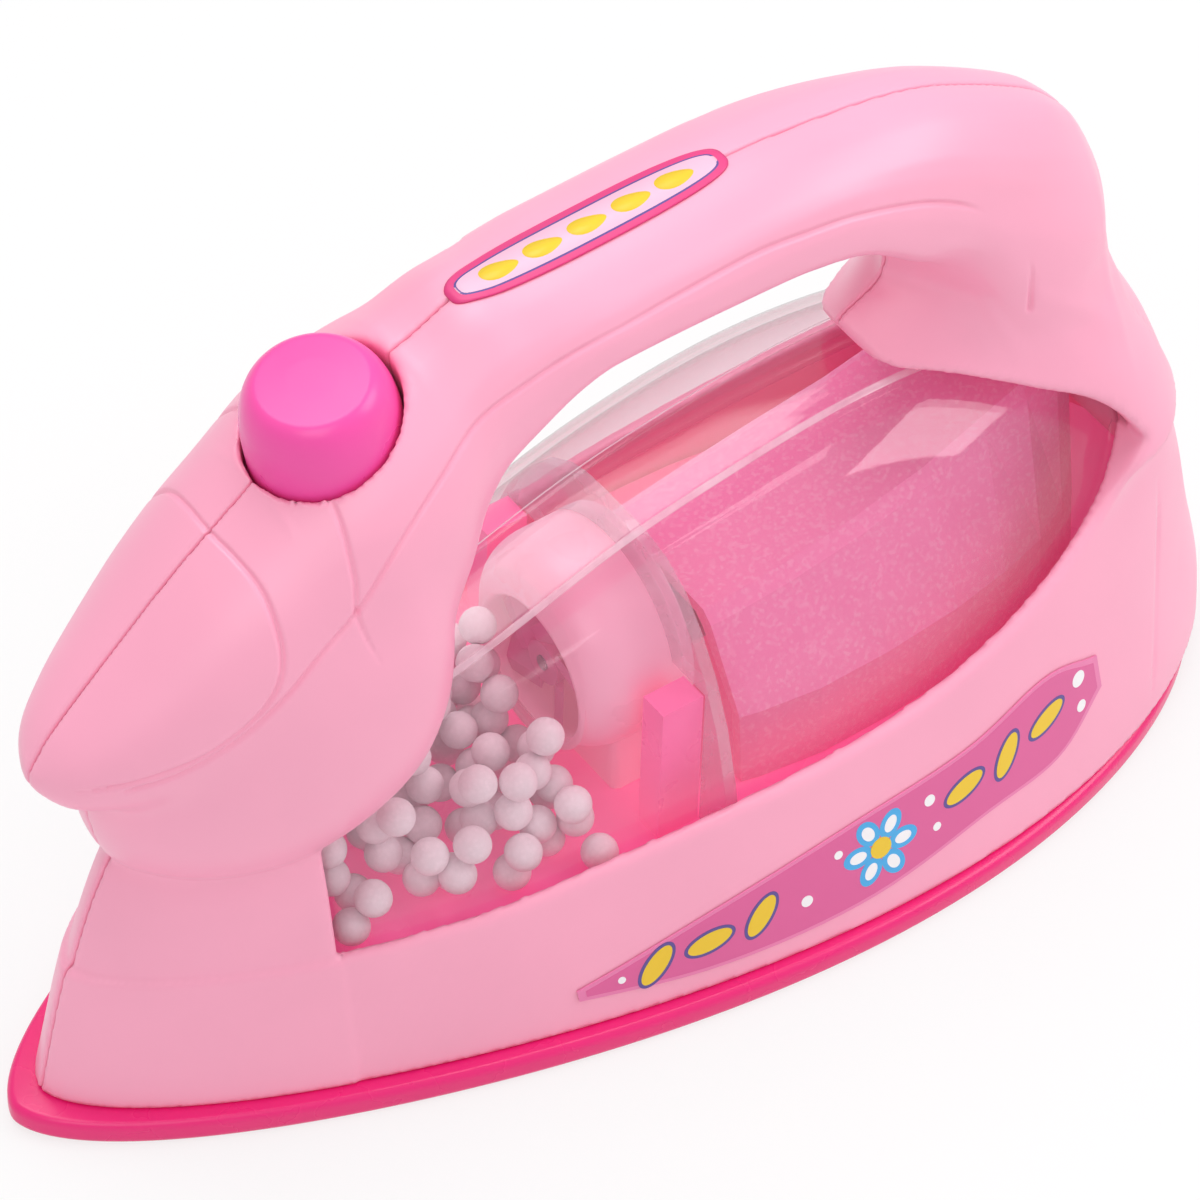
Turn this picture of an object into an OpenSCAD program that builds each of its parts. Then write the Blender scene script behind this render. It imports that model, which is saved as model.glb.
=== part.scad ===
// Toy clothes iron with a clear bead chamber, a blower and a push button.
// The toe points along -X, the heel along +X, and Z is up from the table.

/* [Overall] */
// Length from the toe of the sole to the back of the heel
body_len = 173; // [160:1:190]
// Width of the sole plate at its widest
sole_w = 73; // [68:1:80]
// Height from the table to the top of the handle
body_h = 104; // [100:1:112]

/* [Sole] */
// Thickness of the sole plate
sole_t = 3.5; // [3:0.25:4.5]
// Distance that the sole runs ahead of the housing at the toe
toe_step = 3.7; // [2.5:0.1:5]
// Distance that the sole stands out beyond the housing at the sides
side_step = 1.1; // [0.8:0.1:2]
// Radius of the sole's rounded rim
rim_r = 1.1; // [0.6:0.1:1.4]

/* [Housing] */
// Wall of the two housing shells
wall = 1.6; // [1.4:0.1:2.2]
// Set-back of the front column above its ledge
ledge_step = 0.9; // [0.5:0.1:1.5]
// Lean of the side walls, in millimetres per millimetre of height
draft = 0.2; // [0.15:0.01:0.24]
// Radius of the screw bosses
boss_r = 3.6; // [3.4:0.1:4]
// Radius of the screws' shanks
screw_r = 1.2; // [1:0.1:1.4]
// Radius of the screws' heads
head_r = 2.5; // [2.2:0.1:2.7]

/* [Handle] */
// Width of the handle grip
grip_w = 24; // [22:0.5:27]
// Thickness of the handle grip
grip_t = 12.6; // [12:0.2:14]
// Width of the head behind the nose
head_w = 34; // [32:0.5:37]

/* [Clear cover] */
// Thickness of the clear cover
cover_t = 1.4; // [1.2:0.1:1.8]
// Depth of the cover's edge that hides behind the sill
cover_lap = 3; // [2:0.25:4]
// Width of the raised band on the cover's crest
band_w = 12; // [9:0.5:14]
// Height of that band
band_h = 0.5; // [0.3:0.1:0.8]

/* [Button] */
// Diameter of the push button
button_d = 18.5; // [17:0.25:20]
// Travel of the push button
button_travel = 2.4; // [1.5:0.1:3]
// Lean of the button towards the toe, in degrees
button_lean = 10; // [6:1:14]
// Gap round the button
button_gap = 0.35; // [0.25:0.05:0.5]

/* [Blower] */
// Diameter of the fan
fan_d = 18; // [15:0.5:19]
// Depth of the fan's blades along the shaft
fan_depth = 5; // [4:0.5:6]
// Number of fan blades
fan_blades = 5; // [3:1:7]
// Diameter of the pod that faces the beads
pod_d = 28; // [26:0.5:29]
// Length of that pod
pod_len = 14; // [13:0.5:16]
// Diameter of the motor can
motor_d = 12; // [11:0.25:13]
// Length of the motor can
motor_len = 15; // [13:0.5:16]
// Diameter of the motor shaft
shaft_d = 2; // [1.5:0.1:2.5]

/* [Battery] */
// Diameter of one battery cell
cell_d = 14.2; // [13.8:0.1:14.5]
// Length of one battery cell
cell_len = 50.2; // [49:0.1:50.5]

/* [Tray] */
// Height of the tray's floor above the table
floor_z = 19; // [18.5:0.25:19.5]
// Thickness of the tray's plate
floor_t = 2; // [1.6:0.1:2.2]
// Thickness of the clear arch behind the beads
arch_t = 1.6; // [1.2:0.1:2]
// Wall of the rear liner
liner_t = 1.5; // [1.2:0.1:1.8]

/* [Beads] */
// Diameter of a foam bead
bead_d = 4.7; // [4.3:0.1:5.2]
// Number of foam beads
bead_count = 120; // [60:10:150]

/* [Hidden] */

housing_pink = [1.0, 0.70, 0.80];
hot_pink = [0.93, 0.25, 0.58];
tray_pink = [0.90, 0.38, 0.62];
clear_tint = [1.0, 0.93, 0.96, 0.35];
foam_white = [0.97, 0.94, 0.95];
pod_pink = [1.0, 0.76, 0.85];
liner_pink = [0.93, 0.55, 0.74];
label_pink = [0.86, 0.24, 0.52];
fan_white = [0.93, 0.90, 0.91];
steel = [0.74, 0.75, 0.77];
dark = [0.12, 0.12, 0.13];
board_green = [0.16, 0.42, 0.24];
cell_blue = [0.20, 0.34, 0.62];

gap = 0.15;
over = 1;
eps = 0.01;
tip = 0.1;
round_fn = 48;

// Side view lines of the whole iron as [height share, length share] or [length share, height share]
toe_line_shares = [[0.03, 0], [0.216, 0.0246], [0.337, 0.049], [0.41, 0.076], [0.45, 0.11]];
heel_line_shares = [[0.03, 1], [0.1, 0.998], [0.19, 0.986], [0.29, 0.974], [0.385, 0.957], [0.48, 0.929],
    [0.54, 0.906], [0.60, 0.885]];
crest_shares = [[0.1, 0.44], [0.2, 0.452], [0.30, 0.476], [0.37, 0.505], [0.48, 0.565], [0.58, 0.597],
    [0.665, 0.613], [0.74, 0.609], [0.81, 0.588], [0.87, 0.56], [0.91, 0.53]];
sill_shares = [[0.2, 0.219], [0.31, 0.231], [0.40, 0.255], [0.49, 0.272], [0.575, 0.285], [0.66, 0.304],
    [0.73, 0.33], [0.79, 0.363], [0.835, 0.398], [0.87, 0.452]];
lip_shares = [[0.693, 0.620], [0.705, 0.613], [0.725, 0.607], [0.75, 0.594], [0.788, 0.567], [0.825, 0.5375],
    [0.85, 0.50], [0.87, 0.452]];
corner_share = 0.87;
bow_power = 1.45;
bow_round = 0.41;
crown_round = 3.4;
crown_rise = 2.1;

half_w = sole_w / 2 - side_step;
sill_front_x = 0.205 * body_len;
ledge_z = sill_shares[0][1] * body_h;

function clamp01(t) = max(0, min(1, t));
function seg_at(t, x, i = 0) = i >= len(t) - 2 || x < t[i + 1][0] ? i : seg_at(t, x, i + 1);
function slope_at(t, i) =
    let(a = max(i - 1, 0), b = min(i + 1, len(t) - 1)) (t[b][1] - t[a][1]) / (t[b][0] - t[a][0]);
// A smooth curve through the rows of a table
function curve_at(t, x) =
    let(i = seg_at(t, x), h = t[i + 1][0] - t[i][0], s = clamp01((x - t[i][0]) / h),
        m0 = slope_at(t, i) * h, m1 = slope_at(t, i + 1) * h)
    t[i][1] * (1 + 2 * s) * pow(1 - s, 2) + m0 * s * pow(1 - s, 2)
    + t[i + 1][1] * s * s * (3 - 2 * s) - m1 * s * s * (1 - s);
function swapped(t, first, last) =
    first <= last ? [for (i = [first:last]) [t[i][1], t[i][0]]]
    : [for (i = [first:-1:last]) [t[i][1], t[i][0]]];

function toe_x(z) = toe_step + body_len * lookup(z / body_h, toe_line_shares);
function heel_x(z) = body_len * lookup(z / body_h, heel_line_shares);
function toe_top(x) =
    body_h * lookup((x - toe_step) / body_len, swapped(toe_line_shares, 0, len(toe_line_shares) - 1));
function heel_top(x) =
    body_h * lookup(x / body_len, swapped(heel_line_shares, len(heel_line_shares) - 1, 0));
function crest_z(x) = body_h * curve_at(crest_shares, x / body_len);
function sill_z(x) = body_h * curve_at(sill_shares, x / body_len);
function lip_z(x) = body_h * curve_at(lip_shares, x / body_len);

// Half width of the bow-shaped plan, from 0 at the toe to 0 at the heel
function bow(u) = u <= 0 || u >= 1 ? 0 : pow(sin(180 * pow(u, bow_power)), bow_round);
function wall_w(x, z, inset) =
    let(x0 = toe_x(z) + inset, x1 = heel_x(z) - inset)
    (half_w - draft * (z - sole_t) - inset) * bow((x - x0) / (x1 - x0));
function body_top(x, inset) =
    min(crest_z(x) - inset,
        x - inset < toe_x(body_h * 0.44) ? toe_top(x - inset) : body_h,
        x + inset > heel_x(body_h * 0.60) ? heel_top(x + inset) : body_h);
function shoulder_z(x, inset) =
    x < sill_front_x ? body_h : min(sill_z(x), sole_t + (body_top(x, inset) - sole_t) * 0.8);
function body_w(x, z, inset) =
    let(zt = body_top(x, inset), zs = shoulder_z(x, inset))
    wall_w(x, z, inset)
    * (z <= zs ? 1 : pow(max(0, 1 - pow((z - zs) / (zt - zs), crown_rise)), 1 / crown_round));
side_levels = 3;
crown_levels = 6;
// Heights of the points up one side of the section at x
function section_levels(x, inset, z_low) =
    let(zt = body_top(x, inset), zs = min(shoulder_z(x, inset), z_low + (zt - z_low) * 0.8))
    concat([for (i = [0:side_levels - 1]) z_low + (zs - z_low) * i / side_levels],
        [for (i = [0:crown_levels]) zs + (zt - zs) * pow(sin(90 * i / crown_levels), 0.9)]);
function body_ring(x, inset, z_low) =
    let(zl = section_levels(x, inset, z_low), n = len(zl) - 1)
    concat([for (i = [0:n]) [x, -max(body_w(x, zl[i], inset), i == n ? 0 : eps), zl[i]]],
        [for (i = [n - 1:-1:0]) [x, max(body_w(x, zl[i], inset), eps), zl[i]]]);

// A solid through rings of points, closed by a fan at each end
module loft(rings) {
    n = len(rings[0]);
    m = len(rings);
    points = [for (r = rings) each r];
    sides = [for (j = [0:m - 2], i = [0:n - 1])
        let(a = j * n + i, b = j * n + (i + 1) % n)
        each [[a, b, b + n], [a, b + n, a + n]]];
    ends = [for (i = [1:n - 2]) each [[0, i + 1, i], [(m - 1) * n, (m - 1) * n + i, (m - 1) * n + i + 1]]];
    polyhedron(points, concat(sides, ends));
}

body_stations = 22;
column_stations = 8;
// The boat-shaped lower body under its crest, between two stations
module body_form(inset, z_low, x_from, x_to, stations) {
    loft([for (i = [0:stations])
        body_ring(x_from + (x_to - x_from) * (1 - cos(180 * i / stations)) / 2, inset, z_low)]);
}
module whole_body(inset, z_low) {
    body_form(inset, z_low, toe_x(z_low) + inset + tip, heel_x(z_low) - inset - tip, body_stations);
}
// Plan of the body at one height
plan_stations = 26;
function plan_points(z, inset, x_from, x_to) =
    concat([for (i = [0:plan_stations])
        let(x = x_from + (x_to - x_from) * (1 - cos(180 * i / plan_stations)) / 2) [x, -wall_w(x, z, inset)]],
    [for (i = [plan_stations:-1:0])
        let(x = x_from + (x_to - x_from) * (1 - cos(180 * i / plan_stations)) / 2) [x, wall_w(x, z, inset)]]);

// Nose and cheek as rows of [length share, top share, bottom share, width share]
nose_shares = [[0.0266, 0.567, 0.553, 0.05], [0.032, 0.585, 0.537, 0.2], [0.043, 0.612, 0.521, 0.36],
    [0.066, 0.652, 0.505, 0.52], [0.104, 0.712, 0.487, 0.69], [0.145, 0.775, 0.475, 0.83],
    [0.18, 0.82, 0.47, 0.92], [0.22, 0.866, 0.47, 0.97], [0.27, 0.91, 0.50, 0.97]];
cheek_shares = [[0.071, 0.56, 0.44, 0.2], [0.08, 0.58, 0.405, 0.38], [0.098, 0.615, 0.38, 0.55],
    [0.127, 0.67, 0.366, 0.74], [0.156, 0.72, 0.364, 0.86], [0.19, 0.77, 0.374, 0.95],
    [0.23, 0.81, 0.402, 1], [0.265, 0.83, 0.442, 1], [0.29, 0.83, 0.49, 0.95], [0.303, 0.82, 0.56, 0.86],
    [0.308, 0.80, 0.64, 0.72]];
egg_points = 16;
egg_round = 2.3;
function sign_pow(v, p) = sign(v) * pow(abs(v), p);
function egg_ring(row, inset) =
    let(x = row[0] * body_len, zt = row[1] * body_h - inset, zb = row[2] * body_h + inset,
        w = max(row[3] * head_w / 2 - inset, tip), h = max(zt - zb, tip))
    [for (i = [0:egg_points - 1])
        let(a = 360 * (i + 0.5) / egg_points)
        [x, -w * sign_pow(cos(a), 2 / egg_round), (zt + zb) / 2 + h / 2 * sign_pow(sin(a), 2 / egg_round)]];
module egg(rows, inset) {
    kept = [for (r = rows) if (r[3] * head_w / 2 > inset + 2 * tip) r];
    loft([for (r = kept) egg_ring(r, inset)]);
}

// Handle as rows of [length share, top share, bottom share, width share], with one section for all
handle_shares = [[0.262, 0.908, 0.66, 1.32], [0.30, 0.937, 0.705, 1.24], [0.33, 0.96, 0.765, 1.1],
    [0.36, 0.9838, 0.803, 1.02], [0.388, 0.986, 0.835, 1], [0.416, 0.988, 0.865, 1], [0.445, 0.99, 0.88, 1],
    [0.57, 1, 0.881, 1], [0.613, 0.999, 0.875, 1], [0.653, 0.993, 0.857, 1], [0.70, 0.982, 0.80, 1],
    [0.74, 0.965, 0.744, 1], [0.775, 0.939, 0.685, 1], [0.81, 0.908, 0.64, 0.96], [0.84, 0.876, 0.62, 0.84],
    [0.862, 0.84, 0.60, 0.68]];
grip_shares = [[0.8, -1], [0.97, -0.8], [1, -0.5], [0.93, 0.12], [0.85, 0.42], [0.62, 0.76], [0.29, 1]];
grip_points = concat([for (p = grip_shares) [-p[0], p[1]]],
    [for (i = [len(grip_shares) - 1:-1:0]) grip_shares[i]]);
module handle_slice(row, inset) {
    translate([row[0] * body_len, 0, (row[1] + row[2]) / 2 * body_h])
        rotate([90, 0, 90])
            linear_extrude(eps)
                polygon([for (p = grip_points) [p[0] * (row[3] * grip_w / 2 - inset),
                    p[1] * ((row[1] - row[2]) / 2 * body_h - inset)]]);
}
module handle_form(inset) {
    for (i = [0:len(handle_shares) - 2])
        hull() {
            handle_slice(handle_shares[i], inset);
            handle_slice(handle_shares[i + 1], inset);
        }
}

// Rear pillar as rows of [height share, front share, back share, width share]
pillar_shares = [[0.50, 0.745, 0.925, 1.5], [0.55, 0.72, 0.912, 1.38], [0.59, 0.702, 0.905, 1.24],
    [0.63, 0.692, 0.901, 1.08], [0.68, 0.692, 0.897, 1], [0.74, 0.696, 0.891, 0.98], [0.81, 0.70, 0.868, 1],
    [0.88, 0.71, 0.82, 0.9]];
pillar_points = 12;
pillar_round = 0.75;
function pillar_ring(row, inset) =
    let(x0 = row[1] * body_len + inset, x1 = row[2] * body_len - inset, w = row[3] * grip_w / 2 - inset)
    [for (i = [0:2 * pillar_points - 1])
        let(u = (1 - cos(180 * (i % pillar_points) / pillar_points)) / 2, back = i >= pillar_points,
            v = back ? 1 - u : u,
            y = w * (v <= 0 || v >= 1 ? 0 : pow(sin(180 * pow(v, bow_power)), pillar_round)))
        [x0 + (x1 - x0) * v, back ? -y : y, row[0] * body_h]];
module pillar_form(inset) {
    loft([for (r = pillar_shares) pillar_ring(r, inset)]);
}

// Everything above the sill and ahead of the lip stays open for the clear cover
window_steps = 10;
window_top_share = 0.72;
module window_cut() {
    sill_line = [for (i = [0:window_steps])
        let(x = sill_front_x + (corner_share * body_len - sill_front_x) * i / window_steps)
        [x, sill_z(x)]];
    lip_line = [for (i = [window_steps:-1:0])
        let(x = body_len * (lip_shares[0][0] + (corner_share - lip_shares[0][0]) * i / window_steps))
        [x, lip_z(x)]];
    translate([0, sole_w, 0])
        rotate([90, 0, 0])
            linear_extrude(2 * sole_w)
                polygon(concat(sill_line, lip_line,
                    [[lip_shares[0][0] * body_len, body_h * window_top_share],
                        [sill_front_x, body_h * window_top_share]]));
}
column_lap = 20;
module column_form(inset) {
    intersection() {
        body_form(ledge_step + inset, sole_t, toe_x(sole_t) + ledge_step + inset + tip,
            sill_front_x + column_lap, column_stations);
        translate([0, -sole_w / 2, 0]) cube([sill_front_x, sole_w, body_h / 2]);
    }
}
module lower_form(inset, z_low) {
    difference() {
        whole_body(inset, z_low);
        translate([0, 0, -inset]) window_cut();
        translate([-over, -sole_w / 2, ledge_z - inset])
            cube([sill_front_x + over + eps, sole_w, body_h]);
    }
}
// Room inside the lower shells, which the cover and the tray fill
module inner_form() {
    difference() {
        whole_body(wall, sole_t - over);
        translate([-over, -sole_w / 2, ledge_z - wall]) cube([sill_front_x + over, sole_w, body_h]);
    }
    column_form(wall);
}
module upper_form(inset) {
    egg(nose_shares, inset);
    egg(cheek_shares, inset);
    handle_form(inset);
    pillar_form(inset);
}

// Button: its top lies on the axis at this place, and it slides down the axis
button_x_share = 0.25;
button_top_share = 0.96;
flat_share = 0.66;
dome_h = 8;
dome_steps = 5;
button_wall = 1.6;
flange_lip = 1.2;
flange_r = button_d / 2 + flange_lip;
collar_z = -15;
flange_t = 1.5;
flange_z = collar_z - button_gap;
shoulder_depth = 11;
stem_r = 2.4;
seat_r = 6;
stem_len = 3;
stem_end = -shoulder_depth - stem_len;
plunger_r = 1.7;
plunger_h = 1.2;
switch_size = 6;
switch_h = 3.5;
switch_top = stem_end - button_travel - gap;
board_t = 1.2;
board_top = switch_top - plunger_h - switch_h;
board_size = [10, 24];
rib_w = 5;
module on_button_axis() {
    translate([button_x_share * body_len, 0, button_top_share * body_h])
        rotate([0, -button_lean, 0])
            children();
}
module push_button() {
    r = button_d / 2;
    flat_r = r * flat_share;
    color(hot_pink)
        on_button_axis()
            rotate_extrude($fn = round_fn)
                polygon(concat([[0, 0]],
                    [for (i = [0:dome_steps])
                        let(a = 90 * i / dome_steps)
                        [flat_r + (r - flat_r) * sin(a), -dome_h + dome_h * cos(a)]],
                    [[r, flange_z], [flange_r, flange_z], [flange_r, flange_z - flange_t],
                        [r - button_wall, flange_z - flange_t], [r - button_wall, -dome_h],
                        [seat_r, -2 * button_wall], [seat_r, -shoulder_depth],
                        [stem_r, -shoulder_depth], [stem_r, stem_end], [0, stem_end]]));
}

// A round wire along a coil whose radius runs from r0 to r1 over a height
wire_sides = 6;
coil_steps = 14;
function coil_rings(r0, r1, height, turns, wire_r) =
    [for (k = [0:turns * coil_steps])
        let(a = 360 * k / coil_steps, s = k / (turns * coil_steps), r = r0 + (r1 - r0) * s,
            z = wire_r + (height - 2 * wire_r) * s)
        [for (i = [0:wire_sides - 1])
            let(b = 360 * i / wire_sides)
            [(r + wire_r * cos(b)) * cos(a), (r + wire_r * cos(b)) * sin(a), z + wire_r * sin(b)]]];
spring_wire_r = 0.4;
button_spring_r = seat_r - 2 * spring_wire_r - gap;
button_spring_turns = 6;
module button_spring() {
    length = -shoulder_depth - board_top - 2 * eps;
    color(steel)
        on_button_axis()
            translate([0, 0, board_top + eps])
                loft(coil_rings(button_spring_r, button_spring_r, length, button_spring_turns, spring_wire_r));
}
module switch() {
    color(dark)
        on_button_axis() {
            translate([0, 0, switch_top - plunger_h - switch_h / 2])
                cube([switch_size, switch_size, switch_h], center = true);
            translate([0, 0, switch_top - plunger_h - eps]) cylinder(h = plunger_h + eps, r = plunger_r, $fn = round_fn);
        }
}
module switch_board() {
    color(board_green)
        on_button_axis()
            translate([-board_size[0] / 2, -board_size[1] / 2, board_top - board_t])
                cube([board_size[0], board_size[1], board_t]);
}
// Collar that guides the button, and the ribs that hold the switch board
module head_fittings() {
    on_button_axis() {
        translate([0, 0, collar_z]) cylinder(h = -2 * collar_z, r = button_d / 2 + button_gap + wall, $fn = round_fn);
        for (s = [-1, 1])
            difference() {
                translate([-rib_w, s > 0 ? board_size[1] / 2 - 2 * wall : -head_w, board_top - board_t - wall])
                    cube([2 * rib_w, head_w - board_size[1] / 2 + 2 * wall, board_t + 2 * wall]);
                translate([-head_w / 2, -board_size[1] / 2 - gap, board_top - board_t - gap])
                    cube([head_w, board_size[1] + 2 * gap, board_t + 2 * gap]);
            }
    }
}

// Screws that join the two halves, as shares of the length and the height
boss_shares = [[0.15, 0.27], [0.25, 0.61], [0.40, 0.925], [0.60, 0.937], [0.80, 0.71], [0.90, 0.40]];
screw_fn = 20;
thread_gap = 0.1;
head_h = 1.8;
seat_y = 5;
seam_gap = 0.1;
screw_reach = 7;
module at_bosses() {
    for (p = boss_shares)
        translate([p[0] * body_len, 0, p[1] * body_h])
            rotate([-90, 0, 0])
                children();
}
module side_bosses() {
    at_bosses() cylinder(h = 2 * sole_w, r = boss_r, center = true, $fn = screw_fn);
}
module screw_room() {
    at_bosses() {
        translate([0, 0, -screw_reach - gap])
            cylinder(h = screw_reach + seat_y + over, r = screw_r + thread_gap, $fn = screw_fn);
        translate([0, 0, seat_y]) cylinder(h = sole_w, r = head_r + gap, $fn = screw_fn);
    }
}
module screw(length) {
    translate([0, 0, -length]) cylinder(h = length + eps, r = screw_r, $fn = screw_fn);
    difference() {
        cylinder(h = head_h, r = head_r, $fn = screw_fn);
        for (a = [0, 90])
            rotate([0, 0, a])
                translate([-head_r / 2, -screw_r / 4, head_h / 2])
                    cube([head_r, screw_r / 2, head_h]);
    }
}
module housing_screws() {
    color(steel)
        at_bosses() translate([0, 0, seat_y]) screw(seat_y + screw_reach);
}

module housing_half(side) {
    intersection() {
        difference() {
            union() {
                lower_form(0, sole_t);
                column_form(0);
                upper_form(0);
            }
            difference() {
                union() {
                    inner_form();
                    upper_form(wall);
                }
                difference() {
                    side_bosses();
                    whole_body(wall + cover_t + 4 * gap + band_h, sole_t);
                }
                head_fittings();
            }
            on_button_axis()
                translate([0, 0, -button_d]) cylinder(h = 2 * button_d, r = button_d / 2 + button_gap, $fn = round_fn);
            screw_room();
        }
        translate([-over, side > 0 ? seam_gap / 2 : -sole_w - seam_gap / 2, 0])
            cube([body_len + 2 * over, sole_w, body_h + 2 * over]);
    }
}
module left_housing() {
    color(housing_pink) housing_half(-1);
}
module right_housing() {
    color(housing_pink) housing_half(1);
}

// Label on the ridge of the grip, between two stations of the handle
label_share = 0.466;
label_len = 38;
label_w = 6.8;
label_t = 0.45;
module handle_label() {
    a = handle_shares[4];
    b = handle_shares[7];
    rise = atan((b[1] - a[1]) * body_h / ((b[0] - a[0]) * body_len));
    top = a[1] + (b[1] - a[1]) * (label_share - a[0]) / (b[0] - a[0]);
    color(label_pink)
        translate([label_share * body_len, 0, top * body_h + eps])
            rotate([0, -rise, 0])
                linear_extrude(label_t) {
                    square([label_len - label_w, label_w], center = true);
                    for (s = [-1, 1]) translate([s * (label_len - label_w) / 2, 0]) circle(d = label_w, $fn = round_fn);
                }
}

// Sole plate in stacked slices of one outline, as [low share, high share, inset share of the rim]
heel_lap = 2;
sole_slices_shares = [[0, 0.1, 0.75], [0.1, 0.26, 0.25], [0.26, 0.72, 0], [0.72, 0.88, 0.35], [0.88, 1, 1]];
function sole_points(inset) =
    let(x0 = inset, x1 = body_len - heel_lap - inset, w = sole_w / 2 - inset)
    concat([for (i = [0:plan_stations])
        let(u = (1 - cos(180 * i / plan_stations)) / 2) [x0 + (x1 - x0) * u, -max(w * bow(u), eps)]],
    [for (i = [plan_stations:-1:0])
        let(u = (1 - cos(180 * i / plan_stations)) / 2) [x0 + (x1 - x0) * u, max(w * bow(u), eps)]]);
sole_screw_shares = [[0.155, 0], [0.48, 0.335], [0.48, -0.335], [0.925, 0.165], [0.925, -0.165]];
sole_boss_r = 3.2;
sole_head_depth = 2;
sole_screw_len = 9;
module at_sole_screws() {
    for (p = sole_screw_shares) translate([p[0] * body_len, p[1] * sole_w, 0]) children();
}

// Battery well between its end walls, and the door under it
cell_r = cell_d / 2;
cell_y = cell_r + gap;
plate_t = 0.4;
cell_spring_len = 5;
well_len = cell_len + cell_spring_len + 2 * plate_t + 4 * gap;
well_w = 2 * (cell_y + cell_r + gap);
well_x = 0.537 * body_len;
well_wall = 1.5;
door_t = 1.6;
door_lap = 2;
door_gap = 0.3;
cell_z = door_t + 2 * gap + cell_r;
tab_r = 4.2;
door_screw_x = well_x + well_len + well_wall + sole_boss_r + gap;
nub_r = 2.75;
nub_h = 1;
module door_outline(grow) {
    translate([well_x - door_lap - grow, -well_w / 2 - door_lap - grow])
        square([well_len + 2 * (door_lap + grow), well_w + 2 * (door_lap + grow)]);
    translate([door_screw_x, 0]) circle(r = tab_r + grow, $fn = round_fn);
}
module sole_plate() {
    color(hot_pink)
        difference() {
            union() {
                for (s = sole_slices_shares)
                    translate([0, 0, s[0] * sole_t])
                        linear_extrude((s[1] - s[0]) * sole_t)
                            polygon(sole_points(s[2] * rim_r));
                translate([door_screw_x, 0, sole_t / 2])
                    cylinder(h = sole_t / 2 + door_boss_h, r = sole_boss_r, $fn = screw_fn);
            }
            translate([0, 0, -over]) linear_extrude(door_t + gap + over) door_outline(door_gap);
            translate([well_x, -well_w / 2, 0]) cube([well_len, well_w, sole_t + over]);
            translate([door_screw_x, 0, -over])
                cylinder(h = over + door_head_depth + sole_t / 2 + door_boss_h + 2 * gap, r = screw_r + thread_gap,
                    $fn = screw_fn);
            at_sole_screws() {
                translate([0, 0, -over]) cylinder(h = sole_head_depth + over, r = head_r + gap, $fn = screw_fn);
                cylinder(h = sole_t + over, r = screw_r + thread_gap, $fn = screw_fn);
            }
        }
}
door_boss_h = 5;
door_head_depth = 1;
module battery_door() {
    color(hot_pink)
        difference() {
            linear_extrude(door_t) door_outline(0);
            translate([door_screw_x, 0, -over]) {
                cylinder(h = 2 * door_t + over, r = screw_r + thread_gap, $fn = screw_fn);
                cylinder(h = door_head_depth + over, r = head_r + gap, $fn = screw_fn);
            }
            for (i = [0:finger_ribs - 1])
                translate([well_x + finger_pitch * (i + 1), -well_w / 4, -over])
                    cube([finger_pitch / 2, well_w / 2, over + door_t / 4]);
        }
}
finger_ribs = 5;
finger_pitch = 2.4;
module door_screw() {
    color(steel)
        translate([door_screw_x, 0, door_head_depth])
            mirror([0, 0, 1]) {
                translate([0, 0, -door_boss_h - sole_t / 2]) cylinder(h = door_boss_h + sole_t / 2 + eps, r = screw_r, $fn = screw_fn);
                cylinder(h = door_head_depth - gap, r = head_r, $fn = screw_fn);
            }
}
module sole_screws() {
    color(steel)
        at_sole_screws()
            translate([0, 0, sole_head_depth]) mirror([0, 0, 1]) screw(sole_screw_len);
}

module cell() {
    rotate([0, 90, 0]) {
        cylinder(h = cell_len - nub_h, r = cell_r, $fn = round_fn);
        cylinder(h = cell_len, r = nub_r, $fn = round_fn);
    }
}
cell_x = well_x + plate_t + gap;
module battery_left() {
    color(cell_blue)
        translate([cell_x + cell_spring_len + gap, -cell_y, cell_z]) cell();
}
module battery_right() {
    color(cell_blue)
        translate([cell_x + cell_len + gap, cell_y, cell_z]) mirror([1, 0, 0]) cell();
}
cell_spring_r = 4.4;
cell_spring_tip_r = 3;
cell_spring_turns = 3;
module battery_springs() {
    color(steel) {
        translate([cell_x, -cell_y, cell_z])
            rotate([0, 90, 0])
                loft(coil_rings(cell_spring_r, cell_spring_tip_r, cell_spring_len, cell_spring_turns, spring_wire_r));
        translate([well_x + well_len - plate_t - gap, cell_y, cell_z])
            rotate([0, -90, 0])
                loft(coil_rings(cell_spring_r, cell_spring_tip_r, cell_spring_len, cell_spring_turns, spring_wire_r));
    }
}
contact_w = 10;
contact_h = 11;
module contact_plates() {
    z0 = cell_z - contact_h / 2;
    color(steel) {
        translate([well_x + gap / 2, -cell_y - contact_w / 2, z0]) cube([plate_t, 2 * cell_y + contact_w, contact_h]);
        for (s = [-1, 1])
            translate([well_x + well_len - plate_t - gap / 2, s * cell_y - contact_w / 2, z0])
                cube([plate_t, contact_w, contact_h]);
    }
}

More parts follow.
